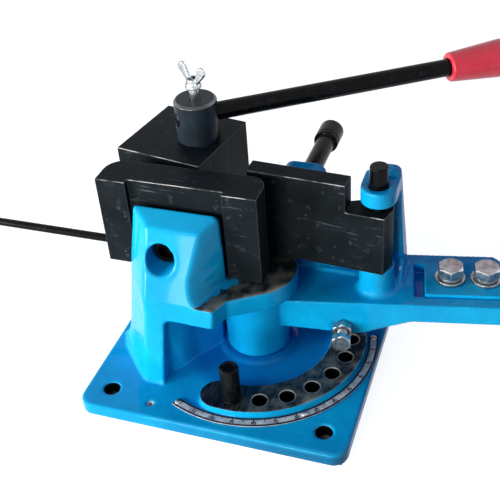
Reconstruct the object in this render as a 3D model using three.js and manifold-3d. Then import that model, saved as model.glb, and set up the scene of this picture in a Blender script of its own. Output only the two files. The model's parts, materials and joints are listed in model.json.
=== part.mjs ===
// Manual metal bender: a cast bench tool that clamps a flat bar between two black steel
// blocks and bends it round the edge of the front block with a swinging arm.
// Millimetres, +Z up. The origin is the arm's pivot axis at the underside of the base.
// +X runs along the front block towards the swinging arm, +Y away from the front.

import * as THREE from 'three';
import { mergeVertices } from 'three/addons/utils/BufferGeometryUtils.js';
import Module from 'manifold-3d';

const wasm = await Module();
wasm.setup();

// Driving dimensions

const gap = 0.3;               // clearance between pieces that touch or seat
const overrun = 6;             // how far every cut runs past the material it cuts
const weld = 0.0004;           // distance under which two vertices of a shape are one

const jawHeight = 69.7;        // height of the black blocks: takes 70 mm flat bar
const shelf = {                // upper plate of the casting, which carries both blocks
  bottom: 64, top: 79.6, cornerX: -12.4, cornerRadius: 4,
  flankX: -6.4, flankY: -40.9, bossRadius: 31.5, bossStart: -53, bossEnd: 98,
  left: -97, leftFrontY: 2, rear: 84, rearRight: -12, rearRadius: 12, neckY: 42,
};
const base = {
  left: -106.3, right: 90.5, front: -96.8, back: 99.2, thickness: 10.4,
  cornerRadius: 11, edgeRound: 0.8,
  boltInset: 19.2, boltRadius: 5.9, smallHoleX: -54.3, smallHoleY: -84.1, smallHoleRadius: 2.4,
};
const indexRing = {            // raised pad with the row of holes for the stop pin
  inner: 55.3, outer: 81.3, top: 16.2, startAngle: -97, endAngle: 11,
  holeCircle: 70, holeRadius: 5.4, firstHole: -87.6, pitch: 16, holes: 7,
};
const pivotBoss = { foot: 30.5, radius: 27, height: 1.9 };
const pivot = { pinRadius: 10, pinBottom: 4.3, chamfer: 1 };
const hub = { radius: 23.6, chamfer: 1.2 };

const leg = {                  // leaning cast upright that backs up the front block
  frontFoot: -64.3, frontShelf: -55.6, frontLedge: -54.2, lean: 0.443, back: -17.7,
  leftFoot: -66, left: -63, right: -30.5, rightShelf: -24, rightTop: -23,
  backRight: -13.2, backLeftFoot: -99.7, backLeftTop: -80, sideCrown: 0.6,
  footSpread: 8, footRise: 13, flareRise: 16.4, topDrop: 16.1, topSlope: 0.43, topRound: 7,
  edgeRound: 5, rearRound: 1.2, tongueInset: 3.4,
};
// A fillet as shares of its rise and, at each, the share of its spread that is left.
const filletShares = [[0, 1], [0.2, 0.5], [0.5, 0.16], [1, 0]];
// The upright's left side as shares of its length and, at each, the share of the spread there.
const sideShares = [[1, 0.5], [0.68, 0.95], [0.33, 0.6]];
const pocket = {               // hollow under the shelf that the arm swings into
  left: -52, leftTop: -48.7, cornerRound: 3.2, leftBack: -50.3, wall1X: -43, wall1Y: -39.4,
  wall2X: -37.8, wall2Y: -28, wall3X: -28.7, wall3Y: -15.6, wall4X: -24, wall4Y: -8.7,
  hubClearance: 3,
};
const web = {                  // wall behind the pocket that joins the base to the shelf
  left: -87, front: -19.5, leftBack: -5, middleX: -56, middleY: 21,
  rearX: -27, rearY: 38, right: -14, round: 6,
};
const gusset = { halfWidth: 5.5, foot: 22 };

const frontBlock = {
  left: -105.5, right: 12, front: -17.4, back: 10.4,
  leftRadius: 19.5, bendRadius: 12,
  slotLeft: -82.9, slotRight: -12.9, slotDepth: 4.2,
};
const blockScrew = {           // socket head cap screw that holds the front block to the upright
  x: -52, z: 106.5, headRadius: 9, headHeight: 12, headFace: -32, shankRadius: 6,
  hexAcross: 10, hexDepth: 6, boreRadius: 10.5, reach: 17,
};

const clamp = {                // eccentric clamp at the back of the bar
  x: -54.4, y: 51.3, throw: 3.5, throwAngle: -20,
  side: 69, boreOffset: 17.5, blockHeading: -10,
  eccentricRadius: 12, journalRadius: 8.5, threadRadius: 8,
  collarRadius: 15.6, collarLift: 0.9, collarHeight: 31.2, collarChamfer: 1.6,
  bossRadius: 20, bossDrop: 18, washerRadius: 15, washerThickness: 2.5,
  nutAcross: 24, nutHeight: 8, threadEnd: 3,
};
const lever = {
  heading: 33.93, rise: 17.9, radius: 6.6, tail: 15, length: 296,
  gripStart: 195, gripNeck: 11, gripRadius: 14.4, gripSwell: 42, gripEnd: 311, gripRound: 9,
};
const wing = {                 // wing screw that locks the lever in the collar
  heading: 155, shankRadius: 4, tipLift: 0.4, neckRise: 8.3, flangeRadius: 5.8, flangeHeight: 1.8,
  hubRadius: 4.7, hubRise: 15.3, cupRadius: 2.6, cupDepth: 2.4, cupFloorShare: 0.8,
  rootHalf: 3, tipReach: 9.6, tipRise: 21.9, tipRadius: 3.7, thickness: 2.6,
};

const beamHeading = 10.9;      // the arm's beam against the jaws when the arm is at rest
const beam = {
  front: -13.8, rear: 45.6, top: 60, end: 177, endChamfer: 5, rearLeft: 22,
  rootBottom: 36, rootU: 20, bellyBottom: 31.4, bellyU: 74, tipBottom: 44.6, shoulderU: 113,
};
const hinge = {                // pin that carries the bending plate
  x: 84.2, y: 23.5, radius: 6.35, leverClearance: 0.5, bottom: 50.3, chamfer: 0.8,
  lugRadius: 12.2, lugDrop: 3.6, lugThickness: 12, bossRadius: 12.4, bossTop: 80.9,
};
const post = {                 // cast post behind the plate that carries the lug
  left: 74, front: 37.5, footRight: 101.3, footBack: 57, topRight: 95.6, topBack: 46,
  rise: 0.4, topRound: 6, round: 3,
};
const backWall = {             // wall that stands behind the plate, lower beside the post
  left: 15, front: 38.5, back: 49.5, topDrop: 22.6, round: 8,
  slopeStart: 42, slopeEnd: 57, lowDrop: 41,
};
const pedestal = {             // sloping cast foot under the bending plate
  footLeft: 35, footFront: -4.6, footFrontRight: 4, left: 52, front: 13, frontRight: 10,
  footRight: 74, right: 77, back: 44,
};
const plate = {                // bending plate on the arm, in a frame whose origin is the pin
  heading: -3.85, left: -90.7, right: 7.9, notch: -19.3, front: -13.3, thickness: 14,
  notchDrop: 5.6, eyeRadius: 11, noseRadius: 3, blendStart: -23.2,
};
const adjuster = {             // screw that sets the plate against the bar
  x: 27.5, drop: 21.6, shankRadius: 6.9, headRadius: 9.3, headStart: 98, headEnd: 120,
  tipRadius: 3.5, tipLength: 4, headRound: 1.5,
  bossLeft: 11, bossRight: 41.5, bossRise: 12.3, bossDrop: 13, bossFront: 35, bossBack: 50.7,
  bossRound: 7,
};
const handle = {
  center: 15.3, width: 37, thickness: 10, top: 62, start: 121.5, flatEnd: 300,
  shoulder: 24, shoulderWidth: 26, rodRadius: 10, rodStart: 303, rodEnd: 492,
  gripStart: 384, gripRadius: 15, gripNeck: 13, gripEnd: 506, gripSwell: 40, gripRound: 9,
  slotStart: 114,
};
const handleBolt = {           // M10
  first: 139.3, pitch: 25.2, radius: 5, across: 17, headHeight: 6.8, reach: 5.4,
  washerRadius: 10.75, washerThickness: 2, springRadius: 8.8, springThickness: 2.5, springCut: 1.6,
};
const stopBolt = {             // M8, meets the stop pin at the end of the bend
  along: 63.8, z: 37, radius: 4, across: 13, headHeight: 5.3, headFace: -31.6,
  nutHeight: 6.5, bossRadius: 8, bossEnd: 17, recessRadius: 9, recess: 1, tip: 8, travel: 6,
};
const stopPin = { radius: 6.8, top: 47, shankRadius: 5.1, bottom: 2, chamfer: 1.2 };

const scale = {                // thin strip with the angle marks, riveted to the base
  inner: 82.7, outer: 89.7, thickness: 0.8, startAngle: -115.2, endAngle: 15.4,
  rivetCircle: 86.2, rivetAngles: [-113.8, -50.7, 13.7], rivetHead: 2.3, rivetRise: 1.1,
  rivetRadius: 1.3, rivetDepth: 4,
};
const stopRod = { y: 16, radius: 3.15, depth: 15, end: -276, chamfer: 0.5 };
const lengthStop = {
  x: -250, width: 13, radius: 9, fingerTop: 112, fingerFront: 9, fingerBack: 20, fingerWidth: 6,
  screwRadius: 3, knobRadius: 7.5, knobLength: 9, knobNeck: 2.5, knobFlutes: 10, fluteRadius: 1.1,
};

const roundSteps = 5;          // facets on a rounded corner
const fine = 44, medium = 28, small = 20, tiny = 12;   // facets round a cylinder

// Values worked out from the sizes above

const radians = Math.PI / 180;
const jawBottom = shelf.top + gap;
const jawTop = jawBottom + jawHeight;
const legTop = jawTop - leg.topDrop;
const collarBottom = jawTop + clamp.collarLift;
const collarTop = collarBottom + clamp.collarHeight;
const leverZ = collarBottom + lever.rise;
const lugTop = jawTop - hinge.lugDrop;
const lugBottom = lugTop - hinge.lugThickness;
const hingeTop = leverZ - lever.radius - hinge.leverClearance;
const postTop = jawTop + post.rise;
const plateBottom = hinge.bossTop + gap;
const adjusterZ = jawTop - adjuster.drop;
const shelfMiddle = (shelf.bottom + shelf.top) / 2;
const hubBottom = base.thickness + pivotBoss.height + gap;
const hubTop = shelf.bottom - gap;
const upAxis = new THREE.Vector3(0, 0, 1);

const at = (x, y) => [x, y];
const polar = (radius, degrees, x = 0, y = 0) =>
  [x + radius * Math.cos(degrees * radians), y + radius * Math.sin(degrees * radians)];

// Solids

// A closed mesh of three.js as a solid for joining and cutting.
function solid(geometry) {
  const bare = geometry.index ? geometry.toNonIndexed() : geometry.clone();
  bare.deleteAttribute('normal');
  bare.deleteAttribute('uv');
  const merged = mergeVertices(bare, weld);
  const corners = merged.index.array;
  const triangles = [];
  for (let i = 0; i < corners.length; i += 3) {
    const [a, b, c] = [corners[i], corners[i + 1], corners[i + 2]];
    if (a !== b && b !== c && c !== a) triangles.push(a, b, c);
  }
  return new wasm.Manifold(new wasm.Mesh({
    numProp: 3,
    vertProperties: new Float32Array(merged.attributes.position.array),
    triVerts: new Uint32Array(triangles),
  }));
}

const join = (first, ...rest) => rest.reduce((all, next) => all.add(next), first);
const cut = (first, ...rest) => rest.reduce((all, next) => all.subtract(next), first);

function turned(body, degrees) {
  return body.rotate([0, 0, degrees]);
}

// A corner list [x, y, radius] as a list of points with its corners rounded.
function rounded(corners) {
  const points = [];
  corners.forEach(([x, y, radius = 0], i) => {
    const here = new THREE.Vector2(x, y);
    if (radius === 0) {
      points.push(here);
      return;
    }
    const before = corners[(i + corners.length - 1) % corners.length];
    const after = corners[(i + 1) % corners.length];
    const toBefore = new THREE.Vector2(before[0] - x, before[1] - y);
    const toAfter = new THREE.Vector2(after[0] - x, after[1] - y);
    const lengths = [toBefore.length(), toAfter.length()];
    toBefore.normalize();
    toAfter.normalize();
    const half = Math.acos(THREE.MathUtils.clamp(toBefore.dot(toAfter), -1, 1)) / 2;
    const reach = Math.min(radius / Math.tan(half), Math.min(...lengths) / 2);
    const arcRadius = reach * Math.tan(half);
    const center = toBefore.clone().add(toAfter).normalize()
      .multiplyScalar(arcRadius / Math.sin(half)).add(here);
    const start = here.clone().addScaledVector(toBefore, reach).sub(center).angle();
    const end = here.clone().addScaledVector(toAfter, reach).sub(center).angle();
    let sweep = end - start;
    if (sweep > Math.PI) sweep -= 2 * Math.PI;
    if (sweep < -Math.PI) sweep += 2 * Math.PI;
    for (let k = 0; k <= roundSteps; k++) {
      const angle = start + (sweep * k) / roundSteps;
      points.push(new THREE.Vector2(
        center.x + arcRadius * Math.cos(angle), center.y + arcRadius * Math.sin(angle)));
    }
  });
  return points;
}

// An outline in X and Y, raised from one height to another.
function prism(corners, bottom, top) {
  const shape = new THREE.Shape(rounded(corners));
  const geometry = new THREE.ExtrudeGeometry(shape, {
    depth: top - bottom, bevelEnabled: false, curveSegments: medium,
  });
  geometry.translate(0, 0, bottom);
  return solid(geometry);
}

// An outline in Y and Z, drawn out along X.
function prismX(corners, left, right) {
  const shape = new THREE.Shape(rounded(corners));
  const geometry = new THREE.ExtrudeGeometry(shape, { depth: right - left, bevelEnabled: false });
  geometry.rotateX(Math.PI / 2).rotateZ(Math.PI / 2).translate(left, 0, 0);
  return solid(geometry);
}

// An outline in X and Z, drawn out along Y.
function prismY(corners, front, back) {
  const shape = new THREE.Shape(rounded(corners));
  const geometry = new THREE.ExtrudeGeometry(shape, { depth: back - front, bevelEnabled: false });
  geometry.rotateX(Math.PI / 2).translate(0, back, 0);
  return solid(geometry);
}

function box(left, right, front, back, bottom, top) {
  const geometry = new THREE.BoxGeometry(right - left, back - front, top - bottom);
  geometry.translate((left + right) / 2, (front + back) / 2, (bottom + top) / 2);
  return solid(geometry);
}

// A body of revolution about Z from a profile of [radius, height] that starts and ends on the axis.
function lathe(profile, facets = medium, x = 0, y = 0) {
  const points = profile.map(([radius, height]) => new THREE.Vector2(radius, height));
  const geometry = new THREE.LatheGeometry(points, facets);
  geometry.rotateX(Math.PI / 2).translate(x, y, 0);
  return solid(geometry);
}

function rod(radius, bottom, top, facets = medium, x = 0, y = 0) {
  return lathe([[0, bottom], [radius, bottom], [radius, top], [0, top]], facets, x, y);
}

// A bar with both ends chamfered.
function pin(radius, bottom, top, chamfer, facets = medium) {
  return lathe([
    [0, bottom], [radius - chamfer, bottom], [radius, bottom + chamfer],
    [radius, top - chamfer], [radius - chamfer, top], [0, top],
  ], facets);
}

// A body made upright about Z, laid along X or along Y.
const alongX = (body) => body.rotate([0, 90, 0]);
const alongY = (body) => body.rotate([-90, 0, 0]);

// A six-sided prism by its width across flats, with the top corners turned off as on a bolt head.
function hexagon(across, bottom, top) {
  const corner = across / Math.sqrt(3);
  const corners = [0, 60, 120, 180, 240, 300].map((angle) => polar(corner, angle));
  const turnedOff = (corner - across / 2) / 2;
  const envelope = lathe([
    [0, bottom], [corner + gap, bottom], [corner + gap, top - turnedOff],
    [across / 2 - turnedOff, top], [0, top],
  ], medium);
  return prism(corners, bottom, top).intersect(envelope);
}

// A closed body through outlines [height, corners] that have the same number of corners.
function loft(sections) {
  const rings = sections.map(([height, corners]) =>
    rounded(corners).map((point) => new THREE.Vector3(point.x, point.y, height)));
  const count = rings[0].length;
  const vertices = rings.flat().flatMap((point) => [point.x, point.y, point.z]);
  const faces = [];
  for (let k = 0; k + 1 < rings.length; k++) {
    for (let i = 0; i < count; i++) {
      const [a, b] = [k * count + i, k * count + ((i + 1) % count)];
      faces.push(a, b, b + count, a, b + count, a + count);
    }
  }
  const caps = [rings[0], rings[rings.length - 1]].map((ring) =>
    THREE.ShapeUtils.triangulateShape(ring.map((p) => new THREE.Vector2(p.x, p.y)), []));
  const last = (rings.length - 1) * count;
  caps[0].forEach(([a, b, c]) => faces.push(a, c, b));
  caps[1].forEach(([a, b, c]) => faces.push(a + last, b + last, c + last));
  const geometry = new THREE.BufferGeometry();
  geometry.setAttribute('position', new THREE.Float32BufferAttribute(vertices, 3));
  geometry.setIndex(faces);
  return solid(geometry);
}

// Materials

const enamel = { color: '#1b7fc4', roughness: 0.32, metalness: 0 };
const blackSteel = { color: '#17181a', roughness: 0.5, metalness: 0.6 };
const zinc = { color: '#c9ccc8', roughness: 0.35, metalness: 0.9 };
const redGrip = { color: '#c4161f', roughness: 0.4, metalness: 0 };
const brightSteel = { color: '#a9adb0', roughness: 0.35, metalness: 0.9 };
const aluminium = { color: '#c3c7cb', roughness: 0.4, metalness: 0.8 };

// A named mesh from a solid.
function piece(name, body, look) {
  const { vertProperties, triVerts } = body.getMesh();
  const geometry = new THREE.BufferGeometry();
  geometry.setAttribute('position', new THREE.BufferAttribute(new Float32Array(vertProperties), 3));
  geometry.setIndex(new THREE.BufferAttribute(new Uint32Array(triVerts), 1));
  geometry.computeVertexNormals();
  const mesh = new THREE.Mesh(geometry, new THREE.MeshStandardMaterial(look));
  mesh.name = name;
  return mesh;
}

function placed(children, x = 0, y = 0, z = 0, heading = 0) {
  const group = new THREE.Group();
  group.position.set(x, y, z);
  group.setRotationFromAxisAngle(upAxis, heading * radians);
  group.add(...children);
  return group;
}

// Base casting

const { lerp } = THREE.MathUtils;
const shareOf = (z, bottom, top) => THREE.MathUtils.clamp((z - bottom) / (top - bottom), 0, 1);

// The upright's front face leans back above the shelf and less below it.
function legFront(z) {
  if (z >= shelf.top) return leg.frontLedge + leg.lean * (z - shelf.top);
  if (z >= shelf.bottom) {
    return lerp(leg.frontShelf, leg.frontLedge, shareOf(z, shelf.bottom, shelf.top));
  }
  return lerp(leg.frontFoot, leg.frontShelf, shareOf(z, base.thickness, shelf.bottom));
}

const legBackLeft = (z) =>
  lerp(leg.backLeftFoot, leg.backLeftTop, shareOf(z, base.thickness, legTop));

function upright() {
  const foot = base.thickness;
  const section = (z, right, spread = 0) => {
    const left = lerp(leg.leftFoot, leg.left, shareOf(z, foot, shelf.bottom));
    const [corner, ...side] = sideShares.map(([along, share]) => at(
      lerp(left, legBackLeft(z), along) - (leg.sideCrown + spread) * share,
      lerp(legFront(z), leg.back, along)));
    return [z, [
      [left, legFront(z), leg.edgeRound], [right, legFront(z), leg.edgeRound],
      [leg.backRight, leg.back, leg.rearRound], [...corner, leg.rearRound], ...side,
    ]];
  };
  const body = loft([
    section(foot - gap, leg.rightShelf, leg.footSpread),
    ...filletShares.map(([rise, share]) =>
      section(foot + leg.footRise * rise, leg.rightShelf, leg.footSpread * share)),
    section(shelf.bottom, leg.rightShelf),
    ...filletShares.map(([rise, share]) =>
      section(shelf.top + leg.flareRise * rise, lerp(leg.right, leg.rightShelf, share))),
    section(legTop, leg.rightTop),
  ]);
  const wide = leg.backLeftFoot - leg.footSpread - overrun;
  const frontView = prismY([
    at(wide, 0), at(-leg.backRight, 0), at(-leg.backRight, shelf.top), at(leg.backRight, shelf.top),
    [leg.backRight, legTop, leg.topRound], [leg.backLeftTop, legTop, leg.topRound],
  ], leg.frontFoot - overrun, leg.back + overrun);
  const front = leg.frontFoot - overrun;
  const behind = leg.back + overrun;
  const slopeAt = (y) => legTop + leg.topSlope * (y - leg.back);
  const above = prismX([
    at(front, slopeAt(front)), at(behind, slopeAt(behind)), at(behind, jawTop), at(front, jawTop),
  ], wide, -leg.backRight);
  return cut(body.intersect(frontView), above);
}

// The strip at the back of the upright that sits in the front block's slot.
function uprightTongue() {
  const back = frontBlock.front + frontBlock.slotDepth - gap;
  return box(frontBlock.slotLeft + leg.tongueInset, frontBlock.slotRight - leg.tongueInset,
    leg.back - gap, back, shelf.bottom, legTop - leg.topRound);
}

function webWall() {
  return prism([
    at(web.left, web.front), at(web.right, web.front), at(web.right, web.rearY),
    [web.rearX, web.rearY, web.round], [web.middleX, web.middleY, web.round],
    [web.left, web.leftBack, web.round],
  ], base.thickness - gap, shelf.bottom + gap);
}

// The room under the shelf that the arm and its hub turn in.
function armPocket() {
  const outline = (left) => [
    at(left, base.front), at(base.right, base.front), at(base.right, 0), at(0, 0),
    at(pocket.wall4X, pocket.wall4Y), at(pocket.wall3X, pocket.wall3Y),
    at(pocket.wall2X, pocket.wall2Y), at(pocket.wall1X, pocket.wall1Y), at(left, pocket.leftBack),
  ];
  const corner = loft([
    [base.thickness - overrun, outline(pocket.left)],
    [shelf.bottom - pocket.cornerRound, outline(pocket.leftTop)],
    [shelf.bottom, outline(pocket.leftTop + pocket.cornerRound)],
  ]);
  const clear = hub.radius + pocket.hubClearance;
  return join(corner, rod(clear, base.thickness - overrun, shelf.bottom, fine));
}

function shelfPlate() {
  const arc = Array.from({ length: small + 1 }, (_, k) => polar(shelf.bossRadius,
    shelf.bossStart + ((shelf.bossEnd - shelf.bossStart) * k) / small));
  const plan = prism([
    at(leg.left + leg.edgeRound, leg.frontShelf),
    [shelf.cornerX, leg.frontShelf, shelf.cornerRadius], at(shelf.flankX, shelf.flankY), ...arc,
    at(shelf.rearRight, shelf.neckY), [shelf.rearRight, shelf.rear, shelf.rearRadius],
    [shelf.left, shelf.rear, shelf.rearRadius], at(shelf.left, shelf.leftFrontY),
    at(legBackLeft(shelf.top), leg.back),
  ], shelf.bottom, shelf.top);
  const leaning = prismX([
    at(leg.frontShelf, shelf.bottom), at(shelf.rear + overrun, shelf.bottom),
    at(shelf.rear + overrun, shelf.top), at(leg.frontLedge, shelf.top),
  ], shelf.left - overrun, shelf.bossRadius + overrun);
  return plan.intersect(leaning);
}

function basePlate() {
  const shape = new THREE.Shape(rounded([
    [base.left, base.front, base.cornerRadius], [base.right, base.front, base.cornerRadius],
    [base.right, base.back, base.cornerRadius], [base.left, base.back, base.cornerRadius],
  ].map(([x, y, radius]) => [
    x - Math.sign(x) * base.edgeRound, y - Math.sign(y) * base.edgeRound, radius - base.edgeRound,
  ])));
  const geometry = new THREE.ExtrudeGeometry(shape, {
    depth: base.thickness - base.edgeRound, bevelThickness: base.edgeRound,
    bevelSize: base.edgeRound, bevelSegments: 3,
  });
  const flat = box(base.left - overrun, base.right + overrun, base.front - overrun,
    base.back + overrun, -base.thickness, 0);
  return cut(solid(geometry), flat);
}

function ringPad() {
  const { inner, outer, top, startAngle, endAngle } = indexRing;
  const middle = (inner + outer) / 2;
  const steps = fine;
  const angles = Array.from({ length: steps + 1 },
    (_, k) => startAngle + ((endAngle - startAngle) * k) / steps);
  const band = prism([
    ...angles.map((angle) => polar(outer, angle)),
    ...angles.map((angle) => polar(inner, angle)).reverse(),
  ], base.thickness - gap, top);
  const ends = [startAngle, endAngle].map((angle) =>
    rod((outer - inner) / 2, base.thickness - gap, top, medium, ...polar(middle, angle)));
  return join(band, ...ends);
}

const indexAngles = Array.from({ length: indexRing.holes },
  (_, k) => indexRing.firstHole + k * indexRing.pitch);

const baseBolts = [
  at(base.left + base.boltInset, base.front + base.boltInset),
  at(base.right - base.boltInset, base.front + base.boltInset),
  at(base.right - base.boltInset, base.back - base.boltInset),
  at(base.left + base.boltInset, base.back - base.boltInset),
];

function baseCasting() {
  const tower = cut(join(upright(), webWall()), armPocket());
  const journalBoss = rod(clamp.bossRadius, bossBottom, shelf.bottom + gap, medium, clamp.x, clamp.y);
  const rib = prismX([
    at(web.middleY - web.round, gusset.foot), at(web.middleY, gusset.foot),
    at(clamp.y - clamp.bossRadius + gusset.halfWidth, bossBottom + gap),
    at(clamp.y - clamp.bossRadius + gusset.halfWidth, shelf.bottom + gap),
    at(web.middleY - web.round, shelf.bottom + gap),
  ], clamp.x - gusset.halfWidth, clamp.x + gusset.halfWidth);
  const foot = lathe([
    [0, base.thickness - gap], [pivotBoss.foot, base.thickness - gap],
    [pivotBoss.radius, base.thickness + pivotBoss.height], [0, base.thickness + pivotBoss.height],
  ], fine);
  const casting = join(basePlate(), ringPad(), foot, tower, shelfPlate(), uprightTongue(),
    journalBoss, rib);

  const counterbore = blockScrew.headFace + blockScrew.headHeight + gap;
  return cut(casting,
    ...baseBolts.map(([x, y]) =>
      rod(base.boltRadius, -overrun, base.thickness + overrun, small, x, y)),
    rod(base.smallHoleRadius, -overrun, base.thickness + overrun, tiny,
      base.smallHoleX, base.smallHoleY),
    ...indexAngles.map((angle) => rod(indexRing.holeRadius, -overrun, indexRing.top + overrun, small,
      ...polar(indexRing.holeCircle, angle))),
    ...scale.rivetAngles.map((angle) => rod(scale.rivetRadius + gap,
      base.thickness - scale.rivetDepth - gap, base.thickness + overrun, tiny,
      ...polar(scale.rivetCircle, angle))),
    rod(pivot.pinRadius + gap, pivot.pinBottom - gap, shelf.top + overrun, fine),
    rod(clamp.journalRadius + gap, bossBottom - overrun, shelf.top + overrun, medium, clamp.x, clamp.y),
    alongY(rod(blockScrew.boreRadius, leg.frontFoot - overrun, counterbore, medium))
      .translate([blockScrew.x, 0, blockScrew.z]),
    alongY(rod(blockScrew.shankRadius + gap, counterbore - overrun, overrun, small))
      .translate([blockScrew.x, 0, blockScrew.z]),
    alongX(rod(stopRod.radius + gap, shelf.left - overrun, shelf.left + stopRod.depth + gap, tiny))
      .translate([0, stopRod.y, shelfMiddle]),
  );
}

function pivotPin() {
  return pin(pivot.pinRadius, pivot.pinBottom, shelf.top - gap, pivot.chamfer);
}

// Angle scale

function angleScale() {
  const bottom = base.thickness + gap;
  const steps = fine;
  const angles = Array.from({ length: steps + 1 },
    (_, k) => scale.startAngle + ((scale.endAngle - scale.startAngle) * k) / steps);
  const strip = prism([
    ...angles.map((angle) => polar(scale.outer, angle)),
    ...angles.map((angle) => polar(scale.inner, angle)).reverse(),
  ], bottom, bottom + scale.thickness);
  return cut(strip, ...scale.rivetAngles.map((angle) => rod(scale.rivetRadius + gap,
    bottom - overrun, bottom + scale.thickness + overrun, tiny, ...polar(scale.rivetCircle, angle))));
}

function rivet() {
  const seat = base.thickness + gap + scale.thickness + gap;
  return lathe([
    [0, base.thickness - scale.rivetDepth], [scale.rivetRadius, base.thickness - scale.rivetDepth],
    [scale.rivetRadius, seat], [scale.rivetHead, seat],
    [scale.rivetHead * Math.cos(45 * radians), seat + scale.rivetRise * Math.sin(45 * radians)],
    [0, seat + scale.rivetRise],
  ], tiny);
}

// Front block and its screw

function frontBlockBody() {
  const { left, right, front, back, slotLeft, slotRight, slotDepth } = frontBlock;
  const body = prism([
    at(left, front), at(slotLeft, front), at(slotLeft, front + slotDepth),
    at(slotRight, front + slotDepth), at(slotRight, front), at(right, front),
    [right, back, frontBlock.bendRadius], [left, back, frontBlock.leftRadius],
  ], jawBottom, jawTop);
  const end = blockScrewEnd() + gap;
  const tapped = alongY(rod(blockScrew.shankRadius + gap, front - overrun, end, small))
    .translate([blockScrew.x, 0, blockScrew.z]);
  return cut(body, tapped);
}

function blockScrewEnd() {
  return frontBlock.front + frontBlock.slotDepth + blockScrew.reach;
}

// Socket head cap screw along Y, its head facing the front.
function blockScrewBody() {
  const seat = blockScrew.headFace + blockScrew.headHeight;
  const body = alongY(lathe([
    [0, blockScrew.headFace], [blockScrew.headRadius - pivot.chamfer, blockScrew.headFace],
    [blockScrew.headRadius, blockScrew.headFace + pivot.chamfer], [blockScrew.headRadius, seat],
    [blockScrew.shankRadius, seat], [blockScrew.shankRadius, blockScrewEnd()], [0, blockScrewEnd()],
  ], small));
  const corner = blockScrew.hexAcross / Math.sqrt(3);
  const socket = alongY(prism([0, 60, 120, 180, 240, 300].map((angle) => polar(corner, angle)),
    blockScrew.headFace - overrun, blockScrew.headFace + blockScrew.hexDepth));
  return cut(body, socket);
}

// Clamp: eccentric shaft, block, lever and locking screw. The group stands on the shaft's axis
// with the lever along X.

const throwAngle = clamp.throwAngle - lever.heading;
const throwAt = polar(clamp.throw, throwAngle);
const bossBottom = shelf.bottom - clamp.bossDrop;
const washerTop = bossBottom - gap;
const nutTop = washerTop - clamp.washerThickness - gap;
const shaftBottom = nutTop - clamp.nutHeight - clamp.threadEnd;

function eccentricShaft() {
  const { collarRadius, collarChamfer } = clamp;
  const collar = lathe([
    [0, collarBottom], [collarRadius, collarBottom], [collarRadius, collarTop - collarChamfer],
    [collarRadius - collarChamfer, collarTop], [0, collarTop],
  ], fine);
  const eccentric = rod(clamp.eccentricRadius, jawBottom, collarBottom + gap, fine, ...throwAt);
  const journal = lathe([
    [0, shaftBottom], [clamp.threadRadius - pivot.chamfer, shaftBottom],
    [clamp.threadRadius, shaftBottom + pivot.chamfer], [clamp.threadRadius, bossBottom],
    [clamp.journalRadius, bossBottom], [clamp.journalRadius, jawBottom + gap], [0, jawBottom + gap],
  ], medium);
  const crossHole = alongX(rod(lever.radius + gap, -collarRadius - overrun,
    collarRadius + overrun, small)).translate([0, 0, leverZ]);
  const tapped = rod(wing.shankRadius + gap, leverZ, collarTop + overrun, small);
  return cut(join(collar, eccentric, journal), crossHole, tapped);
}

function clampBlock() {
  const half = clamp.side / 2;
  const body = prism([
    at(-half, -half), at(half, -half), at(half, half), at(-half, half),
  ], jawBottom, jawTop).translate([-clamp.boreOffset, 0, 0]);
  return cut(body, rod(clamp.eccentricRadius + gap, jawBottom - overrun, jawTop + overrun, fine));
}

function shaftWasher() {
  return ring(clamp.washerRadius, clamp.threadRadius + gap, washerTop - clamp.washerThickness,
    washerTop);
}

function shaftNut() {
  return cut(hexagon(clamp.nutAcross, -nutTop, -nutTop + clamp.nutHeight).rotate([180, 0, 0]),
    rod(clamp.threadRadius + gap, nutTop - clamp.nutHeight - overrun, nutTop + overrun, small));
}

function leverRod() {
  return alongX(pin(lever.radius, -lever.tail, lever.length, pivot.chamfer, small))
    .translate([0, 0, leverZ]);
}

// A moulded grip along Z with a narrow neck, a swell and a round end, hollow for its rod.
function grip(start, end, neck, radius, swell, endRound, boreRadius, boreEnd) {
  const tip = [15, 45, 70].map((angle) =>
    at(radius - endRound + endRound * Math.cos(angle * radians),
      end - endRound + endRound * Math.sin(angle * radians)));
  const body = lathe([
    [0, start], [neck - pivot.chamfer, start], [neck, start + pivot.chamfer],
    [radius, start + swell], [radius, end - endRound], ...tip, [radius - endRound, end], [0, end],
  ], medium);
  return cut(body, rod(boreRadius, start - overrun, boreEnd, small));
}

function leverGrip() {
  return alongX(grip(lever.gripStart, lever.gripEnd, lever.gripNeck, lever.gripRadius,
    lever.gripSwell, lever.gripRound, lever.radius + gap, lever.length + gap))
    .translate([0, 0, leverZ]);
}

function wingScrew() {
  const tip = leverZ + lever.radius + wing.tipLift;
  const neckTop = collarTop + wing.neckRise;
  const hubTop = collarTop + wing.hubRise;
  const flangeTop = neckTop + wing.flangeHeight;
  const stem = lathe([
    [0, tip], [wing.shankRadius, tip], [wing.shankRadius, neckTop], [wing.flangeRadius, neckTop],
    [wing.flangeRadius, flangeTop], [wing.hubRadius, flangeTop + wing.flangeHeight],
    [wing.hubRadius, hubTop], [wing.cupRadius, hubTop],
    [wing.cupRadius * wing.cupFloorShare, hubTop - wing.cupDepth], [0, hubTop - wing.cupDepth],
  ], small);
  const half = wing.thickness / 2;
  const wingOutline = (side) => {
    const tipArc = [-60, -10, 40, 90, 140].map((angle) =>
      polar(wing.tipRadius, angle, wing.tipReach, collarTop + wing.tipRise));
    const outline = [at(wing.rootHalf, flangeTop), ...tipArc, at(wing.rootHalf, hubTop)];
    return (side > 0 ? outline : outline.map(([x, z]) => [-x, z]).reverse());
  };
  return join(stem, prismY(wingOutline(1), -half, half), prismY(wingOutline(-1), -half, half));
}

// Swinging arm. Its group stands on the pivot; the beam and what it carries are turned by the
// beam's heading, and the post, lug and wall follow the jaws.

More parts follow.
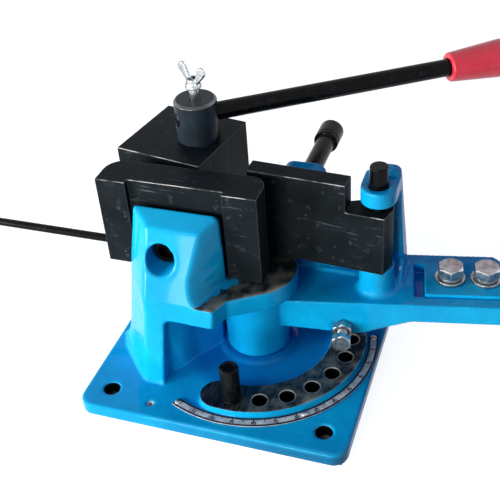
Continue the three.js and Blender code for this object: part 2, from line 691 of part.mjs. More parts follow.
function beamUnderside() {
  const fall = new THREE.SplineCurve([
    new THREE.Vector2(beam.rootU, beam.rootBottom),
    new THREE.Vector2((beam.rootU + beam.bellyU) / 2, (beam.rootBottom + beam.bellyBottom) / 2),
    new THREE.Vector2(beam.bellyU, beam.bellyBottom),
    new THREE.Vector2((beam.bellyU + beam.shoulderU) / 2, (beam.bellyBottom + beam.tipBottom) / 2),
    new THREE.Vector2(beam.shoulderU, beam.tipBottom),
  ]);
  return fall.getPoints(tiny).map((p) => at(p.x, p.y));
}

function beamBody() {
  const plan = prism([
    at(0, beam.front), at(beam.end, beam.front), at(beam.end, beam.rear - beam.endChamfer),
    at(beam.end - beam.endChamfer, beam.rear), [beam.rearLeft, beam.rear, post.round],
    ...[110, 140, 170].map((angle) => polar(hub.radius, angle)),
  ], beam.bellyBottom - overrun, beam.top);
  const sideView = prismY([
    at(-hub.radius, beam.rootBottom), ...beamUnderside(), at(beam.end + overrun, beam.tipBottom),
    at(beam.end + overrun, beam.top + overrun), at(-hub.radius, beam.top + overrun),
  ], beam.front - overrun, beam.rear + overrun);
  return plan.intersect(sideView);
}

function armPost() {
  const section = (z, right, back) => [z, [
    [post.left, post.front, post.round], [right, post.front, post.round],
    [right, back, post.round], [post.left, back, post.round],
  ]];
  const body = loft([
    section(beam.top - overrun, post.footRight, post.footBack),
    section(beam.top, post.footRight, post.footBack),
    section(postTop, post.topRight, post.topBack),
  ]);
  const frontView = prismY([
    at(post.left - overrun, beam.top - overrun), at(post.footRight + overrun, beam.top - overrun),
    [post.topRight, postTop, post.topRound], [post.left, postTop, post.topRound],
  ], post.front - overrun, post.footBack + overrun);
  return body.intersect(frontView);
}

function lug() {
  const nose = rod(hinge.lugRadius, lugBottom, lugTop, fine, hinge.x, hinge.y);
  const tongue = box(hinge.x - hinge.lugRadius, hinge.x + hinge.lugRadius, hinge.y,
    post.front + post.round + gap, lugBottom, lugTop);
  return join(nose, tongue);
}

function pedestalBody() {
  const top = hinge.bossTop;
  return loft([
    [beam.top - gap, [
      at(pedestal.footLeft, pedestal.footFront), at(pedestal.footRight, pedestal.footFrontRight),
      at(pedestal.footRight, pedestal.back), at(pedestal.footLeft, pedestal.back),
    ]],
    [top, [
      at(pedestal.left, pedestal.front), at(pedestal.right, pedestal.frontRight),
      at(pedestal.right, pedestal.back), at(pedestal.left, pedestal.back),
    ]],
  ]);
}

function rearWall() {
  const right = post.left + post.round + gap;
  const [high, low] = [jawTop - backWall.topDrop, jawTop - backWall.lowDrop];
  return prismY([
    at(backWall.left, beam.top - gap), at(right, beam.top - gap), at(right, low),
    [backWall.slopeEnd, low, backWall.round], [backWall.slopeStart, high, backWall.round],
    [backWall.left, high, backWall.round],
  ], backWall.front, backWall.back);
}

// The thick pad at the top of the wall that the adjusting screw is tapped through.
function screwBoss() {
  const { bossLeft, bossRight, bossRise, bossDrop, bossRound, bossFront, bossBack } = adjuster;
  return prismY([
    [bossLeft, adjusterZ - bossDrop, bossRound], [bossRight, adjusterZ - bossDrop, bossRound],
    [bossRight, adjusterZ + bossRise, bossRound], [bossLeft, adjusterZ + bossRise, bossRound],
  ], bossFront, bossBack);
}

function armCasting() {
  const barrel = pin(hub.radius, hubBottom, hubTop, hub.chamfer, fine);
  const lowerBoss = rod(hinge.bossRadius, beam.top - overrun, hinge.bossTop, fine, hinge.x, hinge.y);
  const stopBoss = alongY(rod(stopBolt.bossRadius, beam.front + stopBolt.recess,
    stopBolt.bossEnd, small)).translate([stopBolt.along, 0, stopBolt.z]);
  const beamPart = join(beamBody(), stopBoss);

  const channel = box(handle.slotStart, beam.end + overrun,
    handle.center - handle.width / 2 - gap, handle.center + handle.width / 2 + gap,
    handle.top - handle.thickness - gap, beam.top + overrun);
  const boltHoles = boltPlaces.map((u) => rod(handleBolt.radius + gap, beam.bellyBottom - overrun,
    beam.top + overrun, small, u, handle.center));
  const stopHole = alongY(rod(stopBolt.radius + gap, beam.front - overrun,
    stopBolt.tip + stopBolt.travel + gap, small)).translate([stopBolt.along, 0, stopBolt.z]);
  const recess = alongY(rod(stopBolt.recessRadius, beam.front - overrun,
    beam.front + stopBolt.recess, medium)).translate([stopBolt.along, 0, stopBolt.z]);
  const machinedBeam = turned(cut(beamPart, channel, ...boltHoles, stopHole, recess), beamHeading);

  const upper = join(armPost(), lug(), pedestalBody(), rearWall(), screwBoss(), lowerBoss);
  return cut(join(barrel, machinedBeam, upper),
    rod(pivot.pinRadius + gap, hubBottom - overrun, hubTop + overrun, fine),
    rod(hinge.radius + gap, hinge.bottom - gap, hingeTop + overrun, small, hinge.x, hinge.y),
    alongY(rod(adjuster.shankRadius + gap, adjuster.bossFront - overrun,
      adjuster.bossBack + overrun, small)).translate([adjuster.x, 0, adjusterZ]));
}

const boltPlaces = [handleBolt.first, handleBolt.first + handleBolt.pitch];

// Handle bar: flat where it lies in the arm's channel, then a round rod under the grip.
function handleBar() {
  const half = handle.width / 2;
  const bottom = handle.top - handle.thickness;
  const shoulderEnd = handle.flatEnd + handle.shoulder;
  const flat = prism([
    at(handle.start, -half), at(handle.flatEnd, -half),
    at(shoulderEnd, -handle.shoulderWidth / 2), at(shoulderEnd, handle.shoulderWidth / 2),
    at(handle.flatEnd, half), at(handle.start, half),
  ], bottom, handle.top);
  const round = alongX(pin(handle.rodRadius, handle.rodStart, handle.rodEnd, pivot.chamfer, small))
    .translate([0, 0, (bottom + handle.top) / 2]);
  return cut(join(flat, round), ...boltPlaces.map((u) =>
    rod(handleBolt.radius + gap, bottom - overrun, handle.top + overrun, small, u, 0)));
}

function handleGrip() {
  return alongX(grip(handle.gripStart, handle.gripEnd, handle.gripNeck, handle.gripRadius,
    handle.gripSwell, handle.gripRound, handle.rodRadius + gap, handle.rodEnd + gap))
    .translate([0, 0, handle.top - handle.thickness / 2]);
}

const boltWasherBottom = handle.top + gap;
const springBottom = boltWasherBottom + handleBolt.washerThickness + gap;
const boltHeadBottom = springBottom + handleBolt.springThickness + gap;

function hexBolt(across, radius, headBottom, headHeight, end, facets = small) {
  return join(hexagon(across, headBottom, headBottom + headHeight),
    rod(radius, end, headBottom + gap, facets));
}

function handleBoltBody() {
  return hexBolt(handleBolt.across, handleBolt.radius, boltHeadBottom, handleBolt.headHeight,
    handle.top - handle.thickness - handleBolt.reach);
}

function ring(outer, inner, bottom, top, facets = medium) {
  return cut(rod(outer, bottom, top, facets), rod(inner, bottom - overrun, top + overrun, small));
}

function handleWasher() {
  return ring(handleBolt.washerRadius, handleBolt.radius + gap, boltWasherBottom,
    boltWasherBottom + handleBolt.washerThickness);
}

function springWasher() {
  const half = handleBolt.springCut / 2;
  const split = box(0, handleBolt.springRadius + overrun, -half, half,
    springBottom - overrun, boltHeadBottom + overrun);
  return cut(ring(handleBolt.springRadius, handleBolt.radius + gap, springBottom,
    springBottom + handleBolt.springThickness), split);
}

// Stop bolt along Y, its head facing the front; the nut lies against the recess in the beam.
function stopBoltBody() {
  const headBack = stopBolt.headFace + stopBolt.headHeight;
  return hexBolt(stopBolt.across, stopBolt.radius, -headBack, stopBolt.headHeight, -stopBolt.tip, small)
    .rotate([90, 0, 0]);
}

function stopNutBody() {
  const seat = beam.front + stopBolt.recess - gap;
  const body = hexagon(stopBolt.across, -seat, -seat + stopBolt.nutHeight);
  const bore = rod(stopBolt.radius + gap, -seat - overrun,
    -seat + stopBolt.nutHeight + overrun, small);
  return cut(body, bore).rotate([90, 0, 0]);
}

// Bending plate, in a frame that stands on the hinge pin and is turned with the plate.
function bendingPlate() {
  const back = plate.front + plate.thickness;
  const notchFloor = lugBottom - plate.notchDrop;
  const eyeArc = [-30, 0, 30, 60, 90, 115].map((angle) => polar(plate.eyeRadius, angle));
  const lower = prism([
    [plate.left, plate.front, plate.noseRadius], at(plate.right, plate.front), ...eyeArc,
    at(plate.blendStart, back), at(plate.left, back),
  ], plateBottom, notchFloor);
  const upper = prism([
    [plate.left, plate.front, plate.noseRadius], at(plate.notch, plate.front),
    at(plate.notch, back), at(plate.left, back),
  ], notchFloor - gap, jawTop);
  return cut(join(lower, upper),
    rod(hinge.radius + gap, plateBottom - overrun, notchFloor + overrun, small));
}

function hingePin() {
  return pin(hinge.radius, hinge.bottom, hingeTop, hinge.chamfer, medium);
}

// Back face of the bending plate on the adjusting screw's axis.
function plateBackAt(x) {
  const along = x - hinge.x;
  const slope = Math.tan(plate.heading * radians);
  return hinge.y + along * slope + (plate.front + plate.thickness) / Math.cos(plate.heading * radians);
}

function adjustingScrew() {
  const { shankRadius, headRadius, headStart, headEnd, tipRadius, tipLength, headRound } = adjuster;
  const tip = plateBackAt(adjuster.x) + gap + tipRadius * Math.abs(Math.tan(plate.heading * radians));
  return alongY(lathe([
    [0, tip], [tipRadius, tip], [tipRadius, tip + tipLength], [shankRadius, tip + tipLength],
    [shankRadius, headStart], [headRadius, headStart + headRound], [headRadius, headEnd - headRound],
    [headRadius - headRound, headEnd], [0, headEnd],
  ], medium));
}

// Stop pin in the index ring

function stopPinBody() {
  const seat = indexRing.top + gap;
  return lathe([
    [0, stopPin.bottom], [stopPin.shankRadius, stopPin.bottom], [stopPin.shankRadius, seat],
    [stopPin.radius, seat], [stopPin.radius, stopPin.top - stopPin.chamfer],
    [stopPin.radius - stopPin.chamfer, stopPin.top], [0, stopPin.top],
  ], medium);
}

// Length stop on its rod

function stopRodBody() {
  return alongX(pin(stopRod.radius, stopRod.end, shelf.left + stopRod.depth, stopRod.chamfer, tiny));
}

function lengthStopBody() {
  const half = lengthStop.width / 2;
  const collar = alongX(rod(lengthStop.radius, -half, half, medium));
  const fingerHalf = lengthStop.fingerWidth / 2;
  const finger = box(-fingerHalf, fingerHalf, lengthStop.fingerFront - stopRod.y,
    lengthStop.fingerBack - stopRod.y, 0, lengthStop.fingerTop - shelfMiddle);
  const tapped = alongY(rod(lengthStop.screwRadius + gap, -lengthStop.radius - overrun, 0, tiny));
  return cut(join(collar, finger), tapped,
    alongX(rod(stopRod.radius + gap, -half - overrun, half + overrun, tiny)));
}

function lengthStopScrew() {
  const { screwRadius, knobRadius, knobLength, knobNeck, radius, knobFlutes, fluteRadius } = lengthStop;
  const tip = stopRod.radius + gap;
  const knobStart = radius + knobNeck;
  const body = lathe([
    [0, tip], [screwRadius, tip], [screwRadius, knobStart], [knobRadius - pivot.chamfer, knobStart],
    [knobRadius, knobStart + pivot.chamfer], [knobRadius, knobStart + knobLength - pivot.chamfer],
    [knobRadius - pivot.chamfer, knobStart + knobLength], [0, knobStart + knobLength],
  ], small);
  const flutes = Array.from({ length: knobFlutes }, (_, k) => rod(fluteRadius, knobStart - gap,
    knobStart + knobLength + overrun, tiny, ...polar(knobRadius, (360 * k) / knobFlutes)));
  return cut(body, ...flutes).rotate([90, 0, 0]);
}

// Assembly

const shaftGroup = placed([
  piece('eccentric_shaft', eccentricShaft(), blackSteel),
  piece('shaft_washer', shaftWasher(), zinc),
  piece('shaft_nut', shaftNut(), zinc),
  piece('lever_rod', leverRod(), blackSteel),
  piece('lever_grip', leverGrip(), redGrip),
  placed([piece('wing_screw', wingScrew(), zinc)], 0, 0, 0, wing.heading - lever.heading),
  placed([piece('clamp_block', clampBlock(), blackSteel)], ...throwAt, 0,
    clamp.blockHeading - lever.heading),
], clamp.x, clamp.y, 0, lever.heading);

const handleGroup = placed([
  piece('handle_bar', handleBar(), enamel),
  piece('handle_grip', handleGrip(), redGrip),
  ...boltPlaces.map((u, i) => placed([
    piece(`handle_bolt_${i + 1}`, handleBoltBody(), zinc),
    piece(`handle_washer_${i + 1}`, handleWasher(), zinc),
    piece(`spring_washer_${i + 1}`, springWasher(), zinc),
  ], u)),
], 0, handle.center, 0);

const beamGroup = placed([
  handleGroup,
  placed([
    piece('stop_bolt', stopBoltBody(), zinc),
    piece('stop_bolt_nut', stopNutBody(), zinc),
  ], stopBolt.along, 0, stopBolt.z),
], 0, 0, 0, beamHeading);

const armGroup = placed([
  piece('arm_casting', armCasting(), enamel),
  beamGroup,
  placed([piece('plate_hinge_pin', hingePin(), blackSteel)], hinge.x, hinge.y),
  placed([piece('bending_plate', bendingPlate(), blackSteel)], hinge.x, hinge.y, 0, plate.heading),
  placed([piece('adjusting_screw', adjustingScrew(), blackSteel)], adjuster.x, 0, adjusterZ),
]);

const rivets = scale.rivetAngles.map((angle, i) =>
  placed([piece(`scale_rivet_${i + 1}`, rivet(), aluminium)], ...polar(scale.rivetCircle, angle)));

const bender = placed([
  piece('base_casting', baseCasting(), enamel),
  piece('angle_scale', angleScale(), aluminium),
  ...rivets,
  piece('front_block', frontBlockBody(), blackSteel),
  placed([piece('front_block_screw', blockScrewBody(), blackSteel)], blockScrew.x, 0, blockScrew.z),
  piece('pivot_pin', pivotPin(), brightSteel),
  placed([piece('stop_pin', stopPinBody(), blackSteel)],
    ...polar(indexRing.holeCircle, indexRing.firstHole)),
  placed([piece('length_stop_rod', stopRodBody(), blackSteel)], 0, stopRod.y, shelfMiddle),
  placed([
    piece('length_stop', lengthStopBody(), blackSteel),
    piece('length_stop_screw', lengthStopScrew(), blackSteel),
  ], lengthStop.x, stopRod.y, shelfMiddle),
  shaftGroup,
  armGroup,
]);
bender.name = 'manual_metal_bender';

export default bender;
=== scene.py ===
# Manual metal bender in its finishes: blue enamelled castings, blackened steel blocks and bars,
# zinc plated fasteners, an aluminium degree scale and red vinyl grips.
# Everything is in metres, +Z up, with the arm's pivot axis at the base underside as the origin.

import json
import math

import bmesh
import bpy
from mathutils import Matrix, Vector


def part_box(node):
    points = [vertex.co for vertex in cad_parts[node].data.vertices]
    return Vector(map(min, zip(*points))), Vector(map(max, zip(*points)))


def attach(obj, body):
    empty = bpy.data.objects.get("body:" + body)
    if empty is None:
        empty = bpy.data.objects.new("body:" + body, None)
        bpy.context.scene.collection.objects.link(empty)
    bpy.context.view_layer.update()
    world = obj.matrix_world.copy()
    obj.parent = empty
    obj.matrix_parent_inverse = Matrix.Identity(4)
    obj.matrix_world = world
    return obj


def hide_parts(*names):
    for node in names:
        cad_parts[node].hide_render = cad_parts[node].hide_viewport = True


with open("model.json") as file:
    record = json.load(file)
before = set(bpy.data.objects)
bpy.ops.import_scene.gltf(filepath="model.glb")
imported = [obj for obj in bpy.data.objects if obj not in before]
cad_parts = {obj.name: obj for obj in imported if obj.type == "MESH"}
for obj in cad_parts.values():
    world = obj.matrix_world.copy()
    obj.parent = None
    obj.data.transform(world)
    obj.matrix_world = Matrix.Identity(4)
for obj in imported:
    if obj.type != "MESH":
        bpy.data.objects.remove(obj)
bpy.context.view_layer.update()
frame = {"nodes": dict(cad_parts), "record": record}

mm = 0.001
body_of_node = {node: body for body, nodes in frame["record"]["behaviour"]["bodies"].items()
                for node in nodes}

# ---- Sizes in millimetres and angles in degrees, the same as the part's

beam_heading = 10.9  # of the arm's beam, from +X
arm_top = 60
hinge_x, hinge_y = 84.2, 23.5  # pin of the bending plate
clamp_axis = (-54.4, 51.3, 0)
lever_heading, lever_height = 33.93, 168.4
adjuster_place, stop_rod_place, handle_height = (27.5, 0, 128), (0, 16, 71.8), 57
collar_rim = 179.9  # foot of the chamfer round the collar's top
bolt_places, bolt_across_beam = (139.3, 164.5), 15.3
stop_bolt_along, stop_bolt_height = 63.8, 37

# The base casting's machined faces, and how far its soft skin may stand above them
ring_top, ring_play = 15.2, 2
shelf_top, shelf_play = 78.6, 1.2
hole_circle, first_hole, hole_pitch, hole_count, hole_radius = 70, -87.6, 16, 7, 5.4
bolt_hole_places, bolt_hole_radius = ((-87.1, -77.6), (71.3, -77.6), (-87.1, 80), (71.3, 80)), 5.9
small_hole_x, small_hole_y, small_hole_height, small_hole_zone = -54.3, -84.1, 6, 9
# How far the dark wall of a hole, bare iron and painted shade, reaches past its radius, and the
# painted highlight round its rim
hole_margin, bolt_hole_margin, highlight_inner, highlight_outer = 0.35, 0.5, 0.1, 0.9

# Painted shade on the base, and the darker left end of the ring's top: the places between which
# each one grows or fades
left_end_turns, under_arm_shade_reaches, under_arm_shade_heights = (-88, -62), (62, 50), (62, 50)
front_shade_heights, front_shade_depths, front_shade_widths = (11, 7), (-80, -90), (-70, 50)
overspray_places = ((-24, -40, 9), (-20, -33, 9), (-14, -25, 8), (-8, -20, 6))  # x, y and size
overspray_height, overspray_ragged = 0.4, 5

# The scale: its strip, and the print on it from 0 at the arm's place to 110
strip_inner, strip_outer, strip_top = 82.7, 89.7, 11.5
rivet_circle, rivet_angles = 86.2, (-113.8, -50.7, 13.7)
rivet_foot, rivet_seat, rivet_shank, rivet_head, rivet_rise = 6.4, 11.8, 1.3, 2.3, 1.1
print_start, print_end, border_reach = -115.1, 15.3, 1.2
inner_border, outer_border, mark_inner = 84.0, 88.3, 83.9
zero_angle, last_number, number_circle, number_size, number_weight = 5.5, 110, 86.9, 3.7, 0.08
ink_depth = 0.05

# Profiles of the turned pieces: radius and height along their own axis
stop_pin_profile = ((5.1, 2), (5.1, 16.5), (6.8, 16.5), (6.8, 45.9), (5.7, 47), (4.9, 47),
                    (4.3, 46.2))  # a shallow dish in its top
hinge_pin_profile = (5.5, 50.3), (6.35, 51.1), (6.35, 160.5), (5.5, 161.3)
adjuster_profile = ((3.5, 28.6), (3.5, 32.6), (6.9, 32.6), (6.9, 98), (9, 99.5), (9.3, 100.5),
                    (9.3, 102.6), (8.9, 103), (8.9, 103.6), (9.3, 104), (9.3, 118.2), (7.8, 120))
stop_rod_profile = (2.6, -276), (3.15, -275.5), (3.15, -82.5), (2.6, -82)
lever_profile = (5.6, -15), (6.6, -14), (6.6, 295), (5.6, 296)
boss_fillet_profile = (15.6, 59), (15.6, 60.1), (14.2, 60.7), (13.2, 62), (12.7, 64), (12.3, 67)
bead_profile = ((0.4, 38), (1.6, 40), (2.2, 44), (1.8, 50), (2.3, 57), (2.1, 62), (2.6, 66),
                (1.2, 69))
bolt_shank_profile = (4.2, 54.5), (4.2, 66.8), (5, 67.1), (5, 67.6)
bar_washer_profile = (5.3, 62.3), (10.75, 62.3), (10.75, 64.3), (5.3, 64.3)
shaft_washer_profile = (8.3, 43.2), (15, 43.2), (15, 45.7), (8.3, 45.7)
stop_bore_profile = (4.6, 12), (4.6, -15.6)

# ---- Camera

# The photograph was taken from the front, a little to the right, from about 35 degrees above.
PHOTO_WIDTH = 500
camera_place = Vector((183.212, -473.044, 475.243)) * mm
camera_yaw, camera_pitch, camera_roll = 0.366893, 0.646423, -0.0773437
focal_pixels, centre_x, centre_y = 899.645, 254.482, 251.962


def linked(name, data):
    """A new object in the scene."""
    piece = bpy.data.objects.new(name, data)
    bpy.context.scene.collection.objects.link(piece)
    return piece


def set_camera():
    """The photograph's camera, from its place, its three turns and its focal length."""
    level = Vector((-math.sin(camera_yaw), math.cos(camera_yaw), 0))
    right = Vector((math.cos(camera_yaw), math.sin(camera_yaw), 0))
    up = Vector((0, 0, 1))
    forward = math.cos(camera_pitch) * level - math.sin(camera_pitch) * up
    upward = math.sin(camera_pitch) * level + math.cos(camera_pitch) * up
    across = math.cos(camera_roll) * right + math.sin(camera_roll) * upward
    upward = -math.sin(camera_roll) * right + math.cos(camera_roll) * upward
    data = bpy.data.cameras.new("photo_camera")
    data.sensor_width = 36
    data.lens = focal_pixels / PHOTO_WIDTH * data.sensor_width
    data.shift_x = (PHOTO_WIDTH / 2 - centre_x) / PHOTO_WIDTH
    data.shift_y = (centre_y - PHOTO_WIDTH / 2) / PHOTO_WIDTH
    data.clip_start, data.clip_end = 0.01, 20
    camera = linked("photo_camera", data)
    turn = Matrix((across, upward, -forward)).transposed()
    camera.matrix_world = Matrix.Translation(camera_place) @ turn.to_4x4()
    bpy.context.scene.camera = camera


# ---- Colours and nodes

MATH, RANGE, NOISE, MIX = ("ShaderNodeMath", "ShaderNodeMapRange", "ShaderNodeTexNoise",
                           "ShaderNodeMix")
SPLIT, FAR, BUMP = "ShaderNodeSeparateXYZ", "ShaderNodeVectorMath", "ShaderNodeBump"


def linear(code):
    """An sRGB hex colour as linear RGBA."""
    values = [int(code[i:i + 2], 16) / 255 for i in (1, 3, 5)]
    return [v / 12.92 if v <= 0.04045 else ((v + 0.055) / 1.055) ** 2.4 for v in values] + [1]


def feed(node, inputs):
    """Sets a node's inputs, by name or in order, to values, hex colours or outputs of nodes."""
    for key, value in inputs.items() if isinstance(inputs, dict) else enumerate(inputs):
        if isinstance(value, bpy.types.NodeSocket):
            node.id_data.links.new(value, node.inputs[key])
        else:
            node.inputs[key].default_value = linear(value) if isinstance(value, str) else value


def add(tree, kind, inputs=(), out=0, **settings):
    """Adds one node with its settings and inputs. Gives its output, or the node if out is None."""
    node = tree.nodes.new(kind)
    for key, value in settings.items():
        setattr(node, key, value)
    feed(node, inputs)
    return node if out is None else node.outputs[out]


def surface(name, values):
    """A new material: its node tree, its shader and the place on the piece in metres."""
    material = bpy.data.materials.new(name)
    material.use_nodes = True
    tree = material.node_tree
    shader = tree.nodes["Principled BSDF"]
    feed(shader, values)
    return material, tree, shader, add(tree, "ShaderNodeTexCoord", out="Object")


def largest(tree, values):
    """The largest of several values."""
    result = values[0]
    for value in values[1:]:
        result = add(tree, MATH, (result, value), operation="MAXIMUM")
    return result


def product(tree, values):
    """Several values multiplied together."""
    result = values[0]
    for value in values[1:]:
        result = add(tree, MATH, (result, value), operation="MULTIPLY")
    return result


def layered(tree, colour, *layers):
    """A colour with others laid over it in turn, each by its share."""
    for share, over in layers:
        colour = add(tree, MIX, {0: share, 6: colour, 7: over}, 2, data_type="RGBA")
    return colour


def between(tree, value, low, high):
    """1 where the value lies between low and high, else 0."""
    return product(tree, [add(tree, MATH, (value, low), operation="GREATER_THAN"),
                          add(tree, MATH, (value, high), operation="LESS_THAN")])


def span(tree, across, along):
    """The distance that two legs at right angles make."""
    squares = [add(tree, MATH, (leg, leg), operation="MULTIPLY") for leg in (across, along)]
    return add(tree, MATH, (add(tree, MATH, squares, operation="ADD"),), operation="SQRT")


# ---- Materials


def paint_of(tree, place):
    """Colour, roughness and peel of the enamel: an even blue with slow drifts of tone."""
    patch, mottle, sheen, fine, broad = [
        add(tree, NOISE, {"Vector": place, "Scale": 1 / (size * mm), "Detail": detail})
        for size, detail in ((45, 3), (7, 4), (9, 3), (2.6, 2), (12, 2))]
    colour = layered(tree, "#08a4e6", (add(tree, RANGE, (patch, 0.35, 0.65)), "#0bb8f4"),
                     (add(tree, RANGE, (mottle, 0.35, 0.75, 0, 0.35)), "#0692d2"))
    rough = add(tree, RANGE, (sheen, 0.3, 0.7, 0.22, 0.34))
    return colour, rough, add(tree, MATH, (fine, product(tree, [broad, 2.5])), operation="ADD")


enamel_values = {"IOR": 1.5, "Specular IOR Level": 0.03, "Coat Weight": 0.2,
                 "Coat Roughness": 0.05}


# Stove enamel sprayed on cast iron: a bright even blue, glossy, with the faint orange peel of a
# thick coat over sand-cast skin.
def cast_enamel(name):
    material, tree, shader, place = surface(name, enamel_values)
    colour, rough, peel = paint_of(tree, place)
    feed(shader, {"Base Color": colour, "Roughness": rough, "Normal": add(tree, BUMP, {
        "Height": peel, "Distance": 0.14 * mm, "Strength": 0.6})})
    return material


level_share = 0.6  # a face is level where its normal's Z is above this


# The same enamel where the casting was machined after painting. The ring's top, the shelf's top
# and the walls of the ring's holes are bare iron: dark grey, darker towards the ring's left end,
# with cutter lines, lighter clouds and a painted highlight round each hole's rim. The walls of all
# the holes, the bolt holes too, are darker still, as painted shade. A little blue overspray lies
# beside the upright's foot, the wall of the small hole is white, a painted highlight, and painted
# shade darkens the enamel under the arm and along the front face.
def machined_enamel(name):
    material, tree, shader, place = surface(name, enamel_values)
    paint, rough, peel = paint_of(tree, place)
    x, y, z = add(tree, SPLIT, (place,), None).outputs
    facing = add(tree, SPLIT, (add(tree, "ShaderNodeNewGeometry", out="Normal"),), 2)
    level = add(tree, MATH, (facing, level_share), operation="GREATER_THAN")
    upright = add(tree, MATH, (facing, level_share), operation="LESS_THAN")
    reach = span(tree, x, y)
    turn = add(tree, MATH, (y, x), operation="ARCTAN2")

    # The row of holes: each step of the pitch has one hole in its middle.
    pitch, start = math.radians(hole_pitch), math.radians(first_hole - hole_pitch / 2)
    past_start = add(tree, MATH, (turn, start), operation="SUBTRACT")
    step = add(tree, MATH, (past_start, pitch), operation="DIVIDE")
    in_step = add(tree, MATH, (step,), operation="FRACT")
    off_middle = add(tree, MATH, (in_step, 0.5), operation="SUBTRACT")
    off_circle = add(tree, MATH, (reach, hole_circle * mm), operation="SUBTRACT")
    off_hole = span(tree, product(tree, [off_middle, pitch * hole_circle * mm]), off_circle)
    in_row = between(tree, step, 0, hole_count)
    # The walls of the ring's holes are drilled bare iron, made darker than the top as painted
    # shade.
    drilled = product(tree, [
        add(tree, MATH, (off_hole, (hole_radius + hole_margin) * mm), operation="LESS_THAN"),
        in_row, add(tree, MATH, (z, (ring_top + ring_play) * mm), operation="LESS_THAN")])
    # The walls of the bolt holes get the same dark bare iron: painted shade inside them.
    for hole_x, hole_y in bolt_hole_places:
        off_x = add(tree, MATH, (x, hole_x * mm), operation="SUBTRACT")
        off_y = add(tree, MATH, (y, hole_y * mm), operation="SUBTRACT")
        wall = (bolt_hole_radius + bolt_hole_margin) * mm
        inside = add(tree, MATH, (span(tree, off_x, off_y), wall), operation="LESS_THAN")
        drilled = largest(tree, [drilled, product(tree, [upright, inside])])

    ring_face, shelf_face = [
        product(tree, [between(tree, z, top * mm, (top + play) * mm), level])
        for top, play in ((ring_top, ring_play), (shelf_top, shelf_play))]
    ragged, cloud = [
        add(tree, NOISE, {"Vector": place, "Scale": 1 / (size * mm), "Detail": 4})
        for size in (2.2, 13)]
    ragged = product(tree, [ragged, overspray_ragged * mm])
    spray = []
    for spot_x, spot_y, size in overspray_places:
        spot = (spot_x * mm, spot_y * mm, (shelf_top + overspray_height) * mm)
        off_spot = add(tree, FAR, (place, spot), "Value", operation="DISTANCE")
        off_spot = add(tree, MATH, (off_spot, ragged), operation="ADD")
        spray.append(add(tree, MATH, (off_spot, size * mm), operation="LESS_THAN"))
    unsprayed = add(tree, MATH, (1.0, largest(tree, spray)), operation="SUBTRACT")
    bare = largest(tree, [ring_face, product(tree, [shelf_face, unsprayed]), drilled])

    # Real cutter lines are too fine to show, so they are drawn coarser, at 1.6 mm.
    along_cut = add(tree, "ShaderNodeMapping", {"Vector": place, "Scale": (1, 0.12, 1)})
    cutter = add(tree, NOISE, {"Vector": along_cut, "Scale": 1 / (1.6 * mm), "Detail": 3})
    # The ring's top darkens towards its left end.
    left_end_dark = product(tree, [ring_face, add(tree, RANGE, (
        turn, *[math.radians(end) for end in left_end_turns], 0.9, 0.15))])
    # A painted highlight: a pale band round the rim of each of the ring's holes.
    rim_highlight = product(tree, [
        between(tree, off_hole, (hole_radius + highlight_inner) * mm, (hole_radius + highlight_outer) * mm),
        in_row, level, ring_face, 0.6])
    steel = layered(tree, "#25303a", (add(tree, RANGE, (cloud, 0.42, 0.68)), "#7f827d"),
                    (left_end_dark, "#0b1a28"),
                    (add(tree, RANGE, (cutter, 0.5, 0.8, 0, 0.3)), "#8a8d8c"),
                    (drilled, "#15181a"), (rim_highlight, "#a4aaa8"))

    # The wall of the small hole is painted white: a painted highlight.
    hole_place = (small_hole_x * mm, small_hole_y * mm, small_hole_height * mm)
    off_hole_place = add(tree, FAR, (place, hole_place), "Value", operation="DISTANCE")
    small_hole_highlight = product(tree, [upright, add(
        tree, MATH, (off_hole_place, small_hole_zone * mm), operation="LESS_THAN")])
    # Painted shade: the enamel darkens along the plate's front face, towards its foot and towards
    # the right, and round the pivot under the arm and shelf, more so nearer the pivot and lower
    # down.
    front_shade, under_arm_shade = [
        product(tree, [add(tree, RANGE, (value, ends[0] * mm, ends[1] * mm, *shares))
                       for value, ends, *shares in stain])
        for stain in (((z, front_shade_heights), (y, front_shade_depths), (x, front_shade_widths, 0.1, 0.8)),
                      ((reach, under_arm_shade_reaches, 0, 0.9), (z, under_arm_shade_heights)))]
    painted = add(tree, MATH, (1.0, bare), operation="SUBTRACT")
    feed(shader, {
        "Base Color": layered(tree, paint, (under_arm_shade, "#067fca"), (front_shade, "#04507f"),
                              (bare, steel), (small_hole_highlight, "#e6eef0")),
        "Roughness": add(tree, MIX, {0: bare, 2: rough, 3: add(
            tree, RANGE, (cloud, 0.3, 0.7, 0.34, 0.52))}),
        "Metallic": product(tree, [bare, 0.65]),
        "Normal": add(tree, BUMP, {"Height": product(tree, [peel, painted]),
                                   "Distance": 0.12 * mm, "Strength": 0.5})})
    return material


